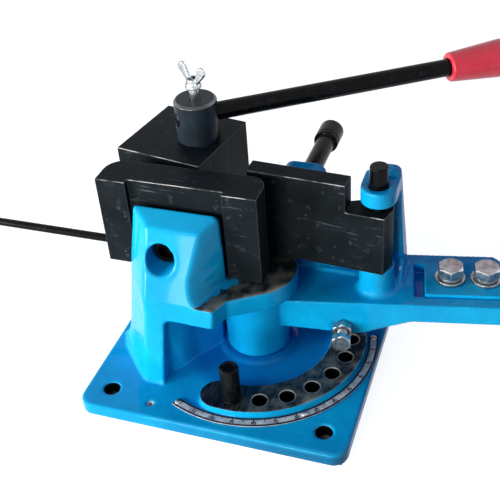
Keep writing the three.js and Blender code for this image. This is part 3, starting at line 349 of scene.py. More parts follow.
# Blackened steel, milled from bar: near black with a cool sheen, faint cutter lines along the
# face, pale smudges and scratches from work and a few bright specks.
def black_oxide(name, tones=("#10161a", "#1a2126"), gloss=0.05, rough=(0.38, 0.52), wear=1.0,
                lay=(1, 1, 0.05)):
    material, tree, shader, place = surface(name, {"Specular IOR Level": gloss})
    cloud, smear, grit, fleck = [
        add(tree, NOISE, {"Vector": place, "Scale": 1 / (size * mm), "Detail": detail})
        for size, detail in ((22, 4), (7, 5), (1.4, 3), (2.4, 1))]
    # Real lines of the cutter or the die are too fine to show, so they are drawn coarser.
    along_lay = add(tree, "ShaderNodeMapping", {"Vector": place, "Scale": lay})
    milled = add(tree, NOISE, {"Vector": along_lay, "Scale": 1 / (1.5 * mm), "Detail": 2})
    askew = add(tree, "ShaderNodeMapping", {
        "Vector": place, "Rotation": (0.3, 0.9, 0.5), "Scale": (1, 14, 14)})
    scratch = add(tree, NOISE, {"Vector": askew, "Scale": 1 / (26 * mm), "Detail": 6})
    worn = product(tree, [add(tree, RANGE, (scratch, 0.62, 0.72, 0, 0.34 * wear)),
                          add(tree, RANGE, (cloud, 0.45, 0.6))])
    smudge = product(tree, [add(tree, RANGE, (smear, 0.6, 0.78)),
                            add(tree, RANGE, (grit, 0.4, 0.7, 0, 0.42 * wear))])
    speck = add(tree, RANGE, (fleck, 0.79, 0.81, 0, 0.8 * wear))
    feed(shader, {
        "Base Color": layered(tree, tones[0], (add(tree, RANGE, (cloud, 0.3, 0.7)), tones[1]),
                              (largest(tree, [worn, smudge, speck]), "#7d8890")),
        "Roughness": add(tree, RANGE, (milled, 0.25, 0.75, *rough)),
        "Normal": add(tree, BUMP, {"Height": milled, "Distance": 0.03 * mm, "Strength": 0.6})})
    return material


# The same steel along its edges. The upper front edges, over which bars are dragged, are rubbed
# through to bright metal in broken stretches.
def rubbed_edge(name):
    material, tree, shader, place = surface(name, {"Roughness": 0.4, "Specular IOR Level": 0.3})
    normal = add(tree, "ShaderNodeNewGeometry", out="Normal")
    _, back, up = add(tree, SPLIT, (normal,), None).outputs
    stretch = add(tree, NOISE, {"Vector": place, "Scale": 1 / (14 * mm), "Detail": 6})
    worn = product(tree, [add(tree, RANGE, (up, 0.15, 0.45)),
                          add(tree, RANGE, (back, -0.3, -0.5)),
                          add(tree, RANGE, (stretch, 0.42, 0.6))])
    feed(shader, {"Base Color": layered(tree, "#1a2025", (worn, "#d4d8da"))})
    return material


# Bright zinc plate on rolled or pressed steel: silvery, with soft cloudy patches. The steel's
# grain under it is too fine to show, so it is drawn coarser, at 1.2 mm.
def zinc_plate(name):
    material, tree, shader, place = surface(name, {"Metallic": 1.0, "Specular Tint": "#283038"})
    cloud, fine = [
        add(tree, NOISE, {"Vector": place, "Scale": 1 / (size * mm), "Detail": detail})
        for size, detail in ((4, 3), (1.2, 2))]
    feed(shader, {
        "Base Color": layered(tree, "#92969a", (add(tree, RANGE, (cloud, 0.3, 0.7)), "#bcc0c2")),
        "Roughness": add(tree, RANGE, (cloud, 0.3, 0.7, 0.24, 0.4)),
        "Normal": add(tree, BUMP, {"Height": fine, "Distance": 0.03 * mm, "Strength": 0.5})})
    return material


# Die-cast zinc, tumbled and plated, of the wing screw: pale, with soft dimples, which are drawn
# coarser than the tumbling leaves them, so that they show.
def die_cast_zinc(name):
    material, tree, shader, place = surface(name, {
        "Metallic": 1.0, "Roughness": 0.2, "Specular Tint": "#283038"})
    dimple = add(tree, NOISE, {"Vector": place, "Scale": 1 / (2.5 * mm), "Detail": 2})
    feed(shader, {
        "Base Color": layered(tree, "#b8bec2", (add(tree, RANGE, (dimple, 0.35, 0.65)),
                                                "#d4d8da")),
        "Normal": add(tree, BUMP, {"Height": dimple, "Distance": 0.03 * mm, "Strength": 0.3})})
    return material


# Bright steel of the pivot pin's face, turned on the lathe: rings round the axis. Real ones are
# too fine to show, so they are drawn coarser, at 2.2 mm.
def turned_steel(name):
    material, tree, shader, place = surface(name, {"Metallic": 1.0, "Roughness": 0.32})
    rings = add(tree, "ShaderNodeTexWave", {
        "Vector": place, "Scale": 1 / (2.2 * mm), "Distortion": 0.6}, "Fac",
        wave_type="RINGS", rings_direction="Z")
    feed(shader, {
        "Base Color": layered(tree, "#6b6a67", (add(tree, RANGE, (rings, 0, 1)), "#8b8a86")),
        "Normal": add(tree, BUMP, {"Height": rings, "Distance": 0.02 * mm, "Strength": 0.5})})
    return material


# Brushed aluminium strip, lacquered: pale grey with darker smears from fingers. The strip is too
# narrow in the picture for its brush lines, which only soften its sheen.
def brushed_strip(name):
    material, tree, shader, place = surface(name, {"Metallic": 0.35})
    smear = add(tree, NOISE, {"Vector": place, "Scale": 1 / (6 * mm), "Detail": 4})
    feed(shader, {
        "Base Color": layered(tree, "#b4b8be", (add(tree, RANGE, (smear, 0.35, 0.7)), "#e4e6ea")),
        "Roughness": add(tree, RANGE, (smear, 0.3, 0.7, 0.34, 0.5))})
    return material


# Screen-printed ink of the scale: flat black with a dull skin and slight drifts of tone.
def printed_ink(name):
    material, tree, shader, place = surface(name, {"Roughness": 0.6, "Specular IOR Level": 0.2})
    drift = add(tree, NOISE, {"Vector": place, "Scale": 1 / (3 * mm), "Detail": 2})
    feed(shader, {"Base Color": layered(tree, "#08090c", (
        add(tree, RANGE, (drift, 0.3, 0.7)), "#12151c"))})
    return material


# Dipped vinyl: a deep glossy red with the slight ripple of a skin that cured on the bar.
def dipped_vinyl(name):
    material, tree, shader, place = surface(name, {"IOR": 1.5})
    drift, sheen, ripple = [
        add(tree, NOISE, {"Vector": place, "Scale": 1 / (size * mm), "Detail": detail})
        for size, detail in ((20, 2), (6, 3), (3, 2))]
    feed(shader, {
        "Base Color": layered(tree, "#ea3048", (add(tree, RANGE, (drift, 0.3, 0.7)), "#f4485e")),
        "Roughness": add(tree, RANGE, (sheen, 0.3, 0.7, 0.24, 0.36)),
        "Normal": add(tree, BUMP, {"Height": ripple, "Distance": 0.06 * mm, "Strength": 0.5})})
    return material


base_enamel = machined_enamel("machined_enamel")
arm_enamel = cast_enamel("cast_enamel")
block_steel = black_oxide("milled_black_oxide")
# Drawn bars are blacker and smoother, with their lines along the bar.
bar_steel = black_oxide("drawn_black_oxide", ("#050607", "#0c0f12"), gloss=0.1,
                        rough=(0.16, 0.28), wear=0.5, lay=(0.05, 1, 1))
# The turned collar is lighter, with little wear.
spindle_steel = black_oxide("turned_black_oxide", ("#1b242d", "#27333d"), gloss=0.12,
                            rough=(0.26, 0.36), wear=0.3, lay=(0.2, 0.2, 1))
# The chamfer round its top is polished, so that it catches the light.
rim_steel = black_oxide("polished_oxide", ("#0c1014", "#14191e"), gloss=1.0,
                        rough=(0.26, 0.36), wear=0.3)
edge_steel = rubbed_edge("rubbed_edge")
zinc = zinc_plate("bright_zinc")
wing_zinc = die_cast_zinc("die_cast_zinc")
pin_steel = turned_steel("turned_steel")
strip_metal = brushed_strip("brushed_aluminium")
ink = printed_ink("printed_ink")
vinyl = dipped_vinyl("dipped_vinyl")

# ---- Making pieces


def new_piece(name, mesh, body, materials, replaced=()):
    """A piece of the scene that rides on its body and stands for the CAD nodes it replaces."""
    piece = linked(name, mesh)
    shares = [0] * len(mesh.polygons)
    mesh.polygons.foreach_get("material_index", shares)
    mesh.materials.clear()
    for material in materials:
        mesh.materials.append(material)
    if len(materials) > 1:
        mesh.polygons.foreach_set("material_index", shares)
    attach(piece, body)
    if replaced:
        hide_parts(*replaced)
    return piece


def settled(piece):
    """The piece's mesh with its modifiers worked in, as a plain mesh."""
    bpy.context.view_layer.update()
    graph = bpy.context.evaluated_depsgraph_get()
    mesh = bpy.data.meshes.new_from_object(piece.evaluated_get(graph), depsgraph=graph)
    bpy.data.objects.remove(piece)
    return mesh


def meshed(shape, name):
    """The shape as a mesh of its own."""
    mesh = bpy.data.meshes.new(name)
    shape.to_mesh(mesh)
    shape.free()
    return mesh


def merged_copy(node):
    """The CAD node's mesh with its loose triangles merged and its flat faces made whole."""
    shape = bmesh.new()
    shape.from_mesh(frame["nodes"][node].data)
    bmesh.ops.remove_doubles(shape, verts=shape.verts, dist=0.004 * mm)
    bmesh.ops.dissolve_limit(shape, angle_limit=math.radians(0.6), verts=shape.verts,
                             edges=shape.edges, use_dissolve_boundaries=False)
    return meshed(shape, node + "_copy")


def joined(meshes):
    """Several meshes as one."""
    shape = bmesh.new()
    for mesh in meshes:
        shape.from_mesh(mesh)
    return meshed(shape, "joined")


def outward(mesh):
    """The mesh with every closed shell facing out."""
    shape = bmesh.new()
    shape.from_mesh(mesh)
    bmesh.ops.recalc_face_normals(shape, faces=shape.faces)
    return meshed(shape, mesh.name)


def replacing(node, name, mesh, materials):
    """The finished mesh as the piece that stands for a CAD node."""
    return new_piece(name, mesh, body_of_node[node], materials, (node,))


def softened(mesh, edge, angle=34, segments=2, materials=()):
    """The mesh with its sharp edges rounded, in the last of the materials, and its flat faces
    shaded flat."""
    for material in materials:
        mesh.materials.append(material)
    piece = linked("softened", mesh)
    mesh.shade_smooth()
    bevel = piece.modifiers.new("edges", "BEVEL")
    bevel.width, bevel.segments = edge * mm, segments
    bevel.limit_method, bevel.angle_limit = "ANGLE", math.radians(angle)
    bevel.use_clamp_overlap = False
    bevel.miter_outer = "MITER_ARC"
    bevel.material = len(materials) - 1
    piece.modifiers.new("flat_faces", "WEIGHTED_NORMAL").weight = 60
    return settled(piece)


def dressed(node, name, materials, edge, angle=34, segments=2):
    """The CAD node with its edges rounded as they are when milled, rolled or filed."""
    mesh = softened(merged_copy(node), edge, angle, segments, materials)
    return replacing(node, name, mesh, materials)


def cast(node, name, materials, grain, rounds, softness=None, kept_share=1.0, fillets=(),
         hollow=None):
    """The CAD node with the soft corners of a casting under thick paint. The softness of a place
    is a share of the full rounding, such as less where the casting was machined. Fillets are
    closed meshes that the skin takes in, and the hollow is one that is cut away."""
    piece = linked(name, merged_copy(node))
    if hollow:
        cutter = linked("hollow", hollow)
        cut = piece.modifiers.new("hollow", "BOOLEAN")
        cut.operation, cut.object, cut.solver = "DIFFERENCE", cutter, "EXACT"
        piece = linked(name, settled(piece))
        bpy.data.objects.remove(cutter)
    if fillets:
        piece.data = joined([piece.data, *fillets])
    skin = piece.modifiers.new("skin", "REMESH")
    skin.mode, skin.voxel_size = "VOXEL", grain * mm
    piece = linked(name, settled(piece))
    sand = piece.modifiers.new("sand", "SMOOTH")
    sand.factor, sand.iterations = 0.5, rounds
    if softness:
        group = piece.vertex_groups.new(name="softness")
        for vertex in piece.data.vertices:
            group.add([vertex.index], softness(vertex.co / mm), "REPLACE")
        sand.vertex_group = group.name
    if kept_share < 1:
        piece.modifiers.new("thinned", "DECIMATE").ratio = kept_share
    mesh = settled(piece)
    mesh.shade_smooth()
    return replacing(node, name, mesh, materials)


def skinned(rows, name, looped=False):
    """A closed body through rows of points in millimetres, each row a ring of as many points. It
    has two ends, or closes on its first row if it is looped."""
    shape = bmesh.new()
    rows = [[shape.verts.new([value * mm for value in point]) for point in row] for row in rows]
    pairs = list(zip(rows, rows[1:])) + ([(rows[-1], rows[0])] if looped else [])
    for low, high in pairs:
        for k in range(len(low)):
            j = (k + 1) % len(low)
            shape.faces.new((low[k], low[j], high[j], high[k]))
    if not looped:
        shape.faces.new(rows[0])
        shape.faces.new(rows[-1])
    bmesh.ops.recalc_face_normals(shape, faces=shape.faces)
    return meshed(shape, name)


def shell(rings, facets=72, looped=False):
    """A closed body of revolution about Z through rings of (radius, height) in millimetres, each
    a number or a function of the angle. A looped one has a bore and closes on itself."""
    angles = [2 * math.pi * k / facets for k in range(facets)]

    def value(given, angle):
        return given(angle) if callable(given) else given
    return skinned([[(value(r, a) * math.cos(a), value(r, a) * math.sin(a), value(z, a))
                     for a in angles] for r, z in rings], "shell", looped)


def prism(corners, bottom, top):
    """A closed body over a plan."""
    return skinned([[(x, y, z) for x, y in corners] for z in (bottom, top)], "prism")


def in_place(mesh, place=(0, 0, 0), heading=0.0, lay="Z"):
    """The mesh with its Z axis laid along an axis, turned by a heading and set in its place."""
    laid = {"Z": Matrix.Identity(4), "X": Matrix.Rotation(math.pi / 2, 4, "Y"),
            "Y": Matrix.Rotation(-math.pi / 2, 4, "X"),
            "-Y": Matrix.Rotation(math.pi / 2, 4, "X")}[lay]
    mesh.transform(Matrix.Translation(Vector(place) * mm)
                   @ Matrix.Rotation(math.radians(heading), 4, "Z") @ laid)
    return mesh


def turned(node, name, material, rings, place, heading=0.0, lay="Z", edge=0.25):
    """A round piece: its profile turned on the lathe, its edges broken, and set in its place."""
    mesh = joined([softened(shell(rings), edge, angle=25)])
    return replacing(node, name, in_place(mesh, place, heading, lay), [material])


def arc_of(radius, first, last, step):
    """Points on an arc about the origin, from one angle to another."""
    return [(radius * math.cos(math.radians(a)), radius * math.sin(math.radians(a)))
            for a in range(first, last, step)]


def on_circle(radius, degrees, height=0.0):
    """A place at a radius and an angle from the Z axis."""
    return (radius * math.cos(math.radians(degrees)), radius * math.sin(math.radians(degrees)),
            height)


def beam_point(along, across, height):
    """A place on the arm's beam."""
    turn = math.radians(beam_heading)
    return (along * math.cos(turn) - across * math.sin(turn),
            along * math.sin(turn) + across * math.cos(turn), height)


def hex_head(across, bottom, top, bore=0.0, both_ends=False):
    """A hexagon head or nut whose corners are turned off by a cone at 30 degrees."""
    crown_share, facets = 0.95, 96
    crown, fall = across / 2 * crown_share, math.tan(math.radians(30))

    def reach(angle):
        off = (math.degrees(angle) + 30) % 60 - 30
        return across / 2 / math.cos(math.radians(off))

    def edge(level, sign):
        return lambda angle: level - sign * (reach(angle) - crown) * fall
    rings = [(reach, edge(bottom, -1) if both_ends else bottom), (reach, edge(top, 1)),
             (crown, top)]
    if both_ends:
        rings.insert(0, (crown, bottom))
    if bore:
        rings = [(bore, bottom)] + rings + [(bore, top)]
    return shell(rings, facets, looped=bool(bore))


def split_ring(inner, outer, bottom, top, rise):
    """A spring washer: a bar of square section bent into one turn of a helix."""
    steps, opening = 72, math.radians(8)
    rows = []
    for share in [k / steps for k in range(steps + 1)]:
        angle = opening + (2 * math.pi - 2 * opening) * share
        lift = rise * (share - 0.5)
        rows.append([(r * math.cos(angle), r * math.sin(angle), z + lift) for r, z in (
            (inner, bottom), (outer, bottom), (outer, top), (inner, top))])
    return skinned(rows, "split_ring")


def grip_rings(start, end, neck, radius, swell, round_end, bore, bore_end):
    """The profile of a dipped grip: a narrow collar, a slow swell and a round end."""
    steps = 12
    body = [(neck + (radius - neck) * share, start + 1 + (swell - 1) * share)
            for share in [k / steps for k in range(steps + 1)]]
    tip = [(radius - round_end + out, end - round_end + rise)
           for out, rise in arc_of(round_end, 0, 91, 15)]
    return [(bore, bore_end), (bore, start), (neck - 1, start)] + body + tip


# ---- Geometry Nodes: the helix of a thread and the marks of the scale

NUMBER, FINISH = "NodeSocketFloat", "NodeSocketMaterial"


def new_tree(name, inputs):
    """A Geometry Nodes tree with named inputs: its group, input node and output node."""
    tree = bpy.data.node_groups.new(name, "GeometryNodeTree")
    for label, kind in inputs:
        tree.interface.new_socket(label, in_out="INPUT", socket_type=kind)
    tree.interface.new_socket("Geometry", in_out="OUTPUT", socket_type="NodeSocketGeometry")
    given = add(tree, "NodeGroupInput", out=None).outputs
    return tree, given, add(tree, "NodeGroupOutput", out=None)


def closed_tree(tree, geometry, material, end):
    """The tree, ended with its geometry made real and given its material."""
    real = add(tree, "GeometryNodeRealizeInstances", (geometry,))
    feed(end, (add(tree, "GeometryNodeSetMaterial", {"Geometry": real, "Material": material}),))
    return tree


def grown(tree, values):
    """The mesh that a tree makes from its named inputs' values."""
    piece = linked(tree.name, bpy.data.meshes.new(tree.name))
    nodes = piece.modifiers.new("grown", "NODES")
    nodes.node_group = tree
    for label, value in values.items():
        nodes[tree.interface.items_tree[label].identifier] = value
    return settled(piece)


def thread_tree():
    """A core with a ridge wound round it, from the origin up Z."""
    tree, given, end = new_tree("thread", (
        ("Radius", NUMBER), ("Pitch", NUMBER), ("Turns", NUMBER), ("Material", FINISH)))
    ridge = product(tree, [given["Pitch"], 0.42])
    centre = add(tree, MATH, (given["Radius"], ridge), operation="SUBTRACT")
    length = product(tree, [given["Pitch"], given["Turns"]])
    helix = add(tree, "GeometryNodeCurveSpiral", {
        "Resolution": 28, "Rotations": given["Turns"], "Start Radius": centre,
        "End Radius": centre, "Height": length})
    section = add(tree, "GeometryNodeCurvePrimitiveCircle", {"Resolution": 6, "Radius": ridge})
    wound = add(tree, "GeometryNodeCurveToMesh", {
        "Curve": helix, "Profile Curve": section, "Fill Caps": True})
    core = add(tree, "GeometryNodeMeshCylinder", {
        "Vertices": 40, "Radius": centre, "Depth": length})
    half = add(tree, "ShaderNodeCombineXYZ", {2: product(tree, [length, 0.5])})
    core = add(tree, "GeometryNodeTransform", {"Geometry": core, "Translation": half})
    both = add(tree, "GeometryNodeJoinGeometry", (wound,), None)
    feed(both, (core,))
    return closed_tree(tree, both.outputs[0], given["Material"], end)


def marks_tree():
    """A row of flat bars that point at the Z axis, a fixed angle apart."""
    tree, given, end = new_tree("scale_marks", (
        ("Count", "NodeSocketInt"), ("First", NUMBER), ("Step", NUMBER), ("Inner", NUMBER),
        ("Length", NUMBER), ("Width", NUMBER), ("Height", NUMBER), ("Material", FINISH)))
    size = add(tree, "ShaderNodeCombineXYZ", (given["Length"], given["Width"], ink_depth * mm))
    middle = add(tree, MATH, (given["Inner"], product(tree, [given["Length"], 0.5])),
                 operation="ADD")
    place = add(tree, "ShaderNodeCombineXYZ", {0: middle, 2: given["Height"]})
    bar = add(tree, "GeometryNodeTransform", {
        "Geometry": add(tree, "GeometryNodeMeshCube", {"Size": size}), "Translation": place})
    points = add(tree, "GeometryNodeMeshLine", {"Count": given["Count"], "Offset": (0, 0, 0)})
    index = add(tree, "GeometryNodeInputIndex")
    angle = add(tree, MATH, (given["First"], product(tree, [index, given["Step"]])),
                operation="ADD")
    row = add(tree, "GeometryNodeInstanceOnPoints", {
        "Points": points, "Instance": bar,
        "Rotation": add(tree, "ShaderNodeCombineXYZ", {2: angle})})
    return closed_tree(tree, row, given["Material"], end)


threads = thread_tree()
marks = marks_tree()


def thread(radius, pitch, length, material):
    """A screw thread, from the origin up Z."""
    mesh = grown(threads, {"Radius": radius * mm, "Pitch": pitch * mm,
                           "Turns": length / pitch, "Material": material})
    mesh.shade_smooth()
    return outward(mesh)


# ---- The pieces

set_camera()


def base_softness(place):
    """Full on the upright, less on the rest, and least round the drilled ring."""
    above_shelf = place.z > shelf_top + 0.6
    in_upright = place.x < -30 and place.y < -17 and place.z > 14
    if above_shelf or in_upright:
        return 1.0
    return 0.2 if place.z < 18 else 0.3


cast("base_casting", "bench_casting", [base_enamel], grain=0.95, rounds=22,
     softness=base_softness, kept_share=0.8)

# The arm's flat top runs back under the bending plate to the wall behind it, round the boss of
# the hinge pin. The boss, the wall and the post grow out of it with broad fillets.
wall_front, plate_left, hollow_front, hollow_top = 37.5, 24, -9, 82
boss_curve = [(hinge_x + out, hinge_y + back) for out, back in arc_of(12.6, 240, 149, -6)]
under_plate = prism([(plate_left, hollow_front), (boss_curve[0][0], hollow_front)] + boss_curve
                    + [(boss_curve[-1][0], wall_front), (plate_left, wall_front)],
                    arm_top + 0.1, hollow_top)
boss_fillet = in_place(shell(boss_fillet_profile), (hinge_x, hinge_y, 0))


def foot_fillet(wall, radius, left, right):
    """A hollow fillet along X, from the arm's top up the front of a wall."""
    arc = [(-arm_top - radius + out, wall - radius + back)
           for back, out in arc_of(radius, 0, 91, 15)]
    corner = [(1 - arm_top, wall - radius), (1 - arm_top, wall + 1), (-arm_top - radius, wall + 1)]
    return in_place(prism(arc + corner, left, right), lay="X")


wall_fillet = foot_fillet(wall=38.5, radius=10, left=22, right=76)
post_fillet = foot_fillet(wall=wall_front, radius=15, left=77, right=101)
# Paint has run into a bead along the foot of the wall, under the plate's lower edge.
bead = in_place(shell(bead_profile, 16), (0, 33, arm_top + 0.5), lay="X")
# The stop bolt's hole is bored out a little, so that the soft skin leaves it room to move.
stop_place = beam_point(stop_bolt_along, 0, stop_bolt_height)
stop_bore = in_place(shell(stop_bore_profile, 32), stop_place, beam_heading, "-Y")
cast("arm_casting", "arm_body", [arm_enamel], grain=0.8, rounds=7,
     fillets=(boss_fillet, wall_fillet, post_fillet, bead),
     hollow=joined([under_plate, stop_bore]))

for node, name in (("front_block", "jaw_block"), ("clamp_block", "clamp_jaw_block"),
                   ("bending_plate", "plate_body")):
    dressed(node, name, [block_steel, edge_steel], edge=0.6)
# The spindle's chamfer round the collar's top is its polished rim.
spindle = softened(merged_copy("eccentric_shaft"), edge=0.3,
                   materials=(spindle_steel, rim_steel))
for face in spindle.polygons:
    if face.center.z > collar_rim * mm and 0.3 < face.normal.z < 0.95:
        face.material_index = 1
replacing("eccentric_shaft", "clamp_spindle", spindle, [spindle_steel, rim_steel])
for node, name, material, edge in (
        ("handle_bar", "handle_flat", arm_enamel, 0.8),
        ("front_block_screw", "jaw_screw", bar_steel, 0.3),
        ("length_stop", "slide_stop", block_steel, 0.4),
        ("length_stop_screw", "slide_knob", bar_steel, 0.2),
        ("pivot_pin", "pivot_face", pin_steel, 0.3),
        ("angle_scale", "scale_strip", strip_metal, 0.12)):
    dressed(node, name, [material], edge)

lever_place = (*clamp_axis[:2], lever_height)
turned("stop_pin", "bend_stop", bar_steel, stop_pin_profile, on_circle(hole_circle, first_hole))
turned("plate_hinge_pin", "plate_pin", bar_steel, hinge_pin_profile, (hinge_x, hinge_y, 0))
turned("adjusting_screw", "plate_screw", bar_steel, adjuster_profile, adjuster_place, lay="Y")
turned("length_stop_rod", "stop_bar", bar_steel, stop_rod_profile, stop_rod_place, lay="X",
       edge=0.15)
turned("lever_rod", "lever_bar", bar_steel, lever_profile, lever_place, lever_heading, "X")
for node, name, place, heading, rings in (
        ("lever_grip", "lever_sleeve", lever_place, lever_heading,
         grip_rings(start=195, end=311, neck=11, radius=14.4, swell=42, round_end=9, bore=6.9,
                    bore_end=296.3)),
        ("handle_grip", "handle_sleeve", beam_point(0, bolt_across_beam, handle_height),
         beam_heading,
         grip_rings(start=384, end=506, neck=13, radius=15, swell=40, round_end=9, bore=10.3,
                    bore_end=492.3))):
    turned(node, name, vinyl, rings, place, heading, "X", edge=0.4)

for k, along in enumerate(bolt_places, 1):
    place = beam_point(along, bolt_across_beam, 0)
    tip = in_place(thread(radius=5, pitch=1.5, length=8.4, material=zinc), (0, 0, 46.6))
    head = softened(hex_head(across=17, bottom=67.4, top=74.2), edge=0.3, angle=22)
    bolt = joined([head, shell(bolt_shank_profile), tip])
    replacing(f"handle_bolt_{k}", f"bar_bolt_{k}", in_place(bolt, place, beam_heading), [zinc])
    washer = softened(shell(bar_washer_profile, looped=True), edge=0.3, angle=30)
    replacing(f"handle_washer_{k}", f"bar_washer_{k}", in_place(washer, place), [zinc])
for k, along in enumerate(bolt_places, 1):
    ring = softened(split_ring(inner=5.3, outer=8.8, bottom=64.8, top=66.9, rise=0.4),
                    edge=0.2, angle=40)
    replacing(f"spring_washer_{k}", f"bar_spring_{k}",
              in_place(ring, beam_point(along, bolt_across_beam, 0), beam_heading), [zinc])

# The stop bolt lies across the beam, its head to the front.
stop_bolt = joined([
    softened(hex_head(across=13, bottom=26.3, top=31.6), edge=0.25, angle=22),
    in_place(thread(radius=3.8, pitch=1.25, length=34.3, material=zinc), (0, 0, -8))])
stop_nut = softened(hex_head(across=13, bottom=13.1, top=19.6, bore=4.3, both_ends=True),
                    edge=0.25, angle=22)
for node, name, mesh in (("stop_bolt", "stop_hex", stop_bolt),
                         ("stop_bolt_nut", "stop_nut", stop_nut)):
    replacing(node, name, in_place(mesh, stop_place, beam_heading, "-Y"), [zinc])
under_washer = softened(shell(shaft_washer_profile, looped=True), edge=0.3, angle=30)
replacing("shaft_washer", "spindle_washer", in_place(under_washer, clamp_axis), [zinc])
under_nut = softened(hex_head(across=24, bottom=34.9, top=42.9, bore=8.3, both_ends=True),
                     edge=0.4, angle=22)
replacing("shaft_nut", "spindle_nut", in_place(under_nut, clamp_axis, lever_heading), [zinc])
for k, angle in enumerate(rivet_angles, 1):
    dome = [(rivet_head * out, rivet_seat + rivet_rise * rise)
            for out, rise in arc_of(1, 0, 81, 10)]
    turned(f"scale_rivet_{k}", f"strip_rivet_{k}", zinc,
           [(rivet_shank, rivet_foot), (rivet_shank, rivet_seat)] + dome,
           on_circle(rivet_circle, angle), edge=0.05)

dressed("wing_screw", "wing_lock", [wing_zinc], edge=0.55, angle=30, segments=3)

# The scale's print: a border along each edge and end, bars at every degree, longer at fives and
# tens, and the numbers of the tens.


def border(inner, outer, first, last):
    """A flat band of an arc round the Z axis."""
    steps = 120
    return skinned([[on_circle(r, first + (last - first) * k / steps, z) for r, z in (
        (inner, strip_top), (outer, strip_top), (outer, strip_top + ink_depth),
        (inner, strip_top + ink_depth))] for k in range(steps + 1)], "border")


def printed_number(value):
    """A number whose foot points away from the Z axis."""
    degrees = zero_angle - value
    data = bpy.data.curves.new(f"number_{value}", "FONT")
    data.body, data.size, data.extrude = str(value), number_size * mm, ink_depth / 2 * mm
    data.align_x, data.align_y, data.resolution_u = "CENTER", "CENTER", 3
    data.offset = number_weight * mm
    mesh = settled(linked(data.name, data))
    mesh.transform(Matrix.Translation(Vector(on_circle(number_circle, degrees, strip_top
                                                       + ink_depth / 2)) * mm)
                   @ Matrix.Rotation(math.radians(degrees + 90), 4, "Z"))
    return mesh


def scale_row(step, count, first, length, width):
    """Bars of one length from the strip's inner border, a number of degrees apart."""
    return grown(marks, {
        "Count": count, "First": math.radians(first), "Step": math.radians(-step),
        "Inner": mark_inner * mm, "Length": length * mm, "Width": width * mm,
        "Height": (strip_top + ink_depth / 2) * mm, "Material": ink})


print_parts = [border(strip_inner, inner_border, print_start, print_end),
               border(outer_border, strip_outer, print_start, print_end),
               border(strip_inner, strip_outer, print_start, print_start + border_reach),
               border(strip_inner, strip_outer, print_end - border_reach, print_end),
               scale_row(step=1, count=118, first=zero_angle + 3, length=0.9, width=0.3),
               scale_row(step=5, count=23, first=zero_angle, length=1.8, width=0.6),
               scale_row(step=10, count=12, first=zero_angle, length=2.4, width=0.8)]
print_parts += [printed_number(value) for value in range(0, last_number + 1, 10)]
new_piece("scale_print", outward(joined(print_parts)), body_of_node["angle_scale"], [ink])

# ---- Floor and light

floor_glow, floor_half = 0.9, 3.0
lamp_aim = Vector((0, 0, 0.08))
# Each lamp's name, place, width in metres, power in watts and colour
lamps = (("key_left", (-1.191, -0.865, 0.286), 0.6, 26, "#fff8ee"),
         ("key_front", (-0.282, -1.45, 0.26), 0.6, 16, "#fff8ee"),
         ("front_glint", (-0.462, -0.869, 1.132), 0.2, 1.6, "#ffffff"),
         ("back_left", (-1.349, 0.238, 0.61), 0.9, 4, "#c0d0ff"),
         ("back_right", (0.905, 0.76, 0.923), 0.9, 4, "#c0d0ff"))
world_colour, world_strength = "#bcd0ff", 0.04


def seen_white(tree):
    """1 for the rays to which the surroundings are white: the eye's and those in reflections."""
    rays = add(tree, "ShaderNodeLightPath", out=None).outputs
    return largest(tree, [rays["Is Camera Ray"], rays["Is Glossy Ray"],
                          rays["Is Transmission Ray"]])


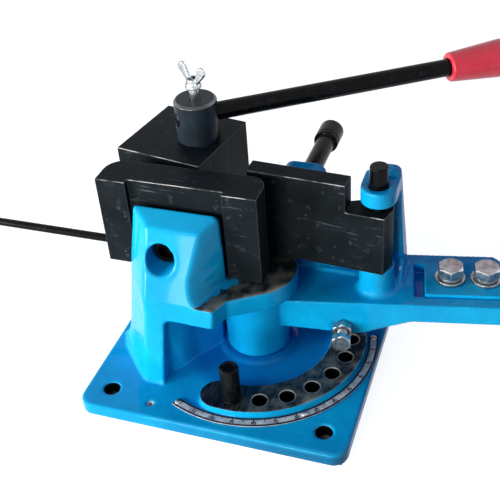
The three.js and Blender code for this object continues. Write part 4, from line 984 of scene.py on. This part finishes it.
def white_floor():
    """A white studio floor: pure white to the eye and in reflections, yet keeping shadows. Under
    the base plate it stays dark, so that the bolt holes look as deep as they are."""
    material = bpy.data.materials.new("studio_floor")
    material.use_nodes = True
    tree = material.node_tree
    tree.nodes.remove(tree.nodes["Principled BSDF"])
    place = add(tree, "ShaderNodeTexCoord", out="Object")
    x, y, _ = add(tree, SPLIT, (place,), None).outputs
    low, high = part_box("base_casting")
    inset = 3 * mm
    under = product(tree, [between(tree, x, low[0] + inset, high[0] - inset),
                           between(tree, y, low[1] + inset, high[1] - inset)])
    # The floor keeps its glow under the small hole, a painted highlight seen in it.
    off_hole = add(tree, FAR, (place, (small_hole_x * mm, small_hole_y * mm, 0)), "Value",
                   operation="DISTANCE")
    through = add(tree, MATH, (off_hole, small_hole_zone * mm), operation="LESS_THAN")
    open_floor = largest(tree, [add(tree, MATH, (1.0, under), operation="SUBTRACT"), through])
    pale = add(tree, "ShaderNodeBsdfDiffuse", {"Color": "#b9babc"})
    glow = add(tree, "ShaderNodeEmission", {"Strength": product(tree, [open_floor, floor_glow])})
    lit = add(tree, "ShaderNodeAddShader", (pale, glow))
    feed(tree.nodes["Material Output"], {"Surface": add(
        tree, "ShaderNodeMixShader", (seen_white(tree), pale, lit))})
    corners = [(-floor_half, -floor_half, 0), (floor_half, -floor_half, 0),
               (floor_half, floor_half, 0), (-floor_half, floor_half, 0)]
    mesh = bpy.data.meshes.new("studio_floor")
    mesh.from_pydata(corners, [], [(0, 1, 2, 3)])
    mesh.transform(Matrix.Translation((0, 0, -0.2 * mm)))
    mesh.materials.append(material)
    linked("studio_floor", mesh)


def studio_light():
    """The lamps, and a world that is white to the eye and in reflections and dim otherwise."""
    world = bpy.data.worlds.new("studio")
    world.use_nodes = True
    bpy.context.scene.world = world
    tree = world.node_tree
    dim = tree.nodes["Background"]
    feed(dim, {"Color": world_colour, "Strength": world_strength})
    white = add(tree, "ShaderNodeBackground", {"Color": "#ffffff", "Strength": 1.0})
    feed(tree.nodes["World Output"], {"Surface": add(
        tree, "ShaderNodeMixShader", (seen_white(tree), dim.outputs[0], white))})
    for name, place, size, power, colour in lamps:
        data = bpy.data.lights.new(name, "AREA")
        data.size, data.energy, data.color = size, power, linear(colour)[:3]
        lamp = linked(name, data)
        lamp.location = place
        lamp.rotation_euler = (lamp_aim - Vector(place)).to_track_quat("-Z", "Y").to_euler()
    bpy.context.scene.view_settings.view_transform = "Standard"


white_floor()
studio_light()
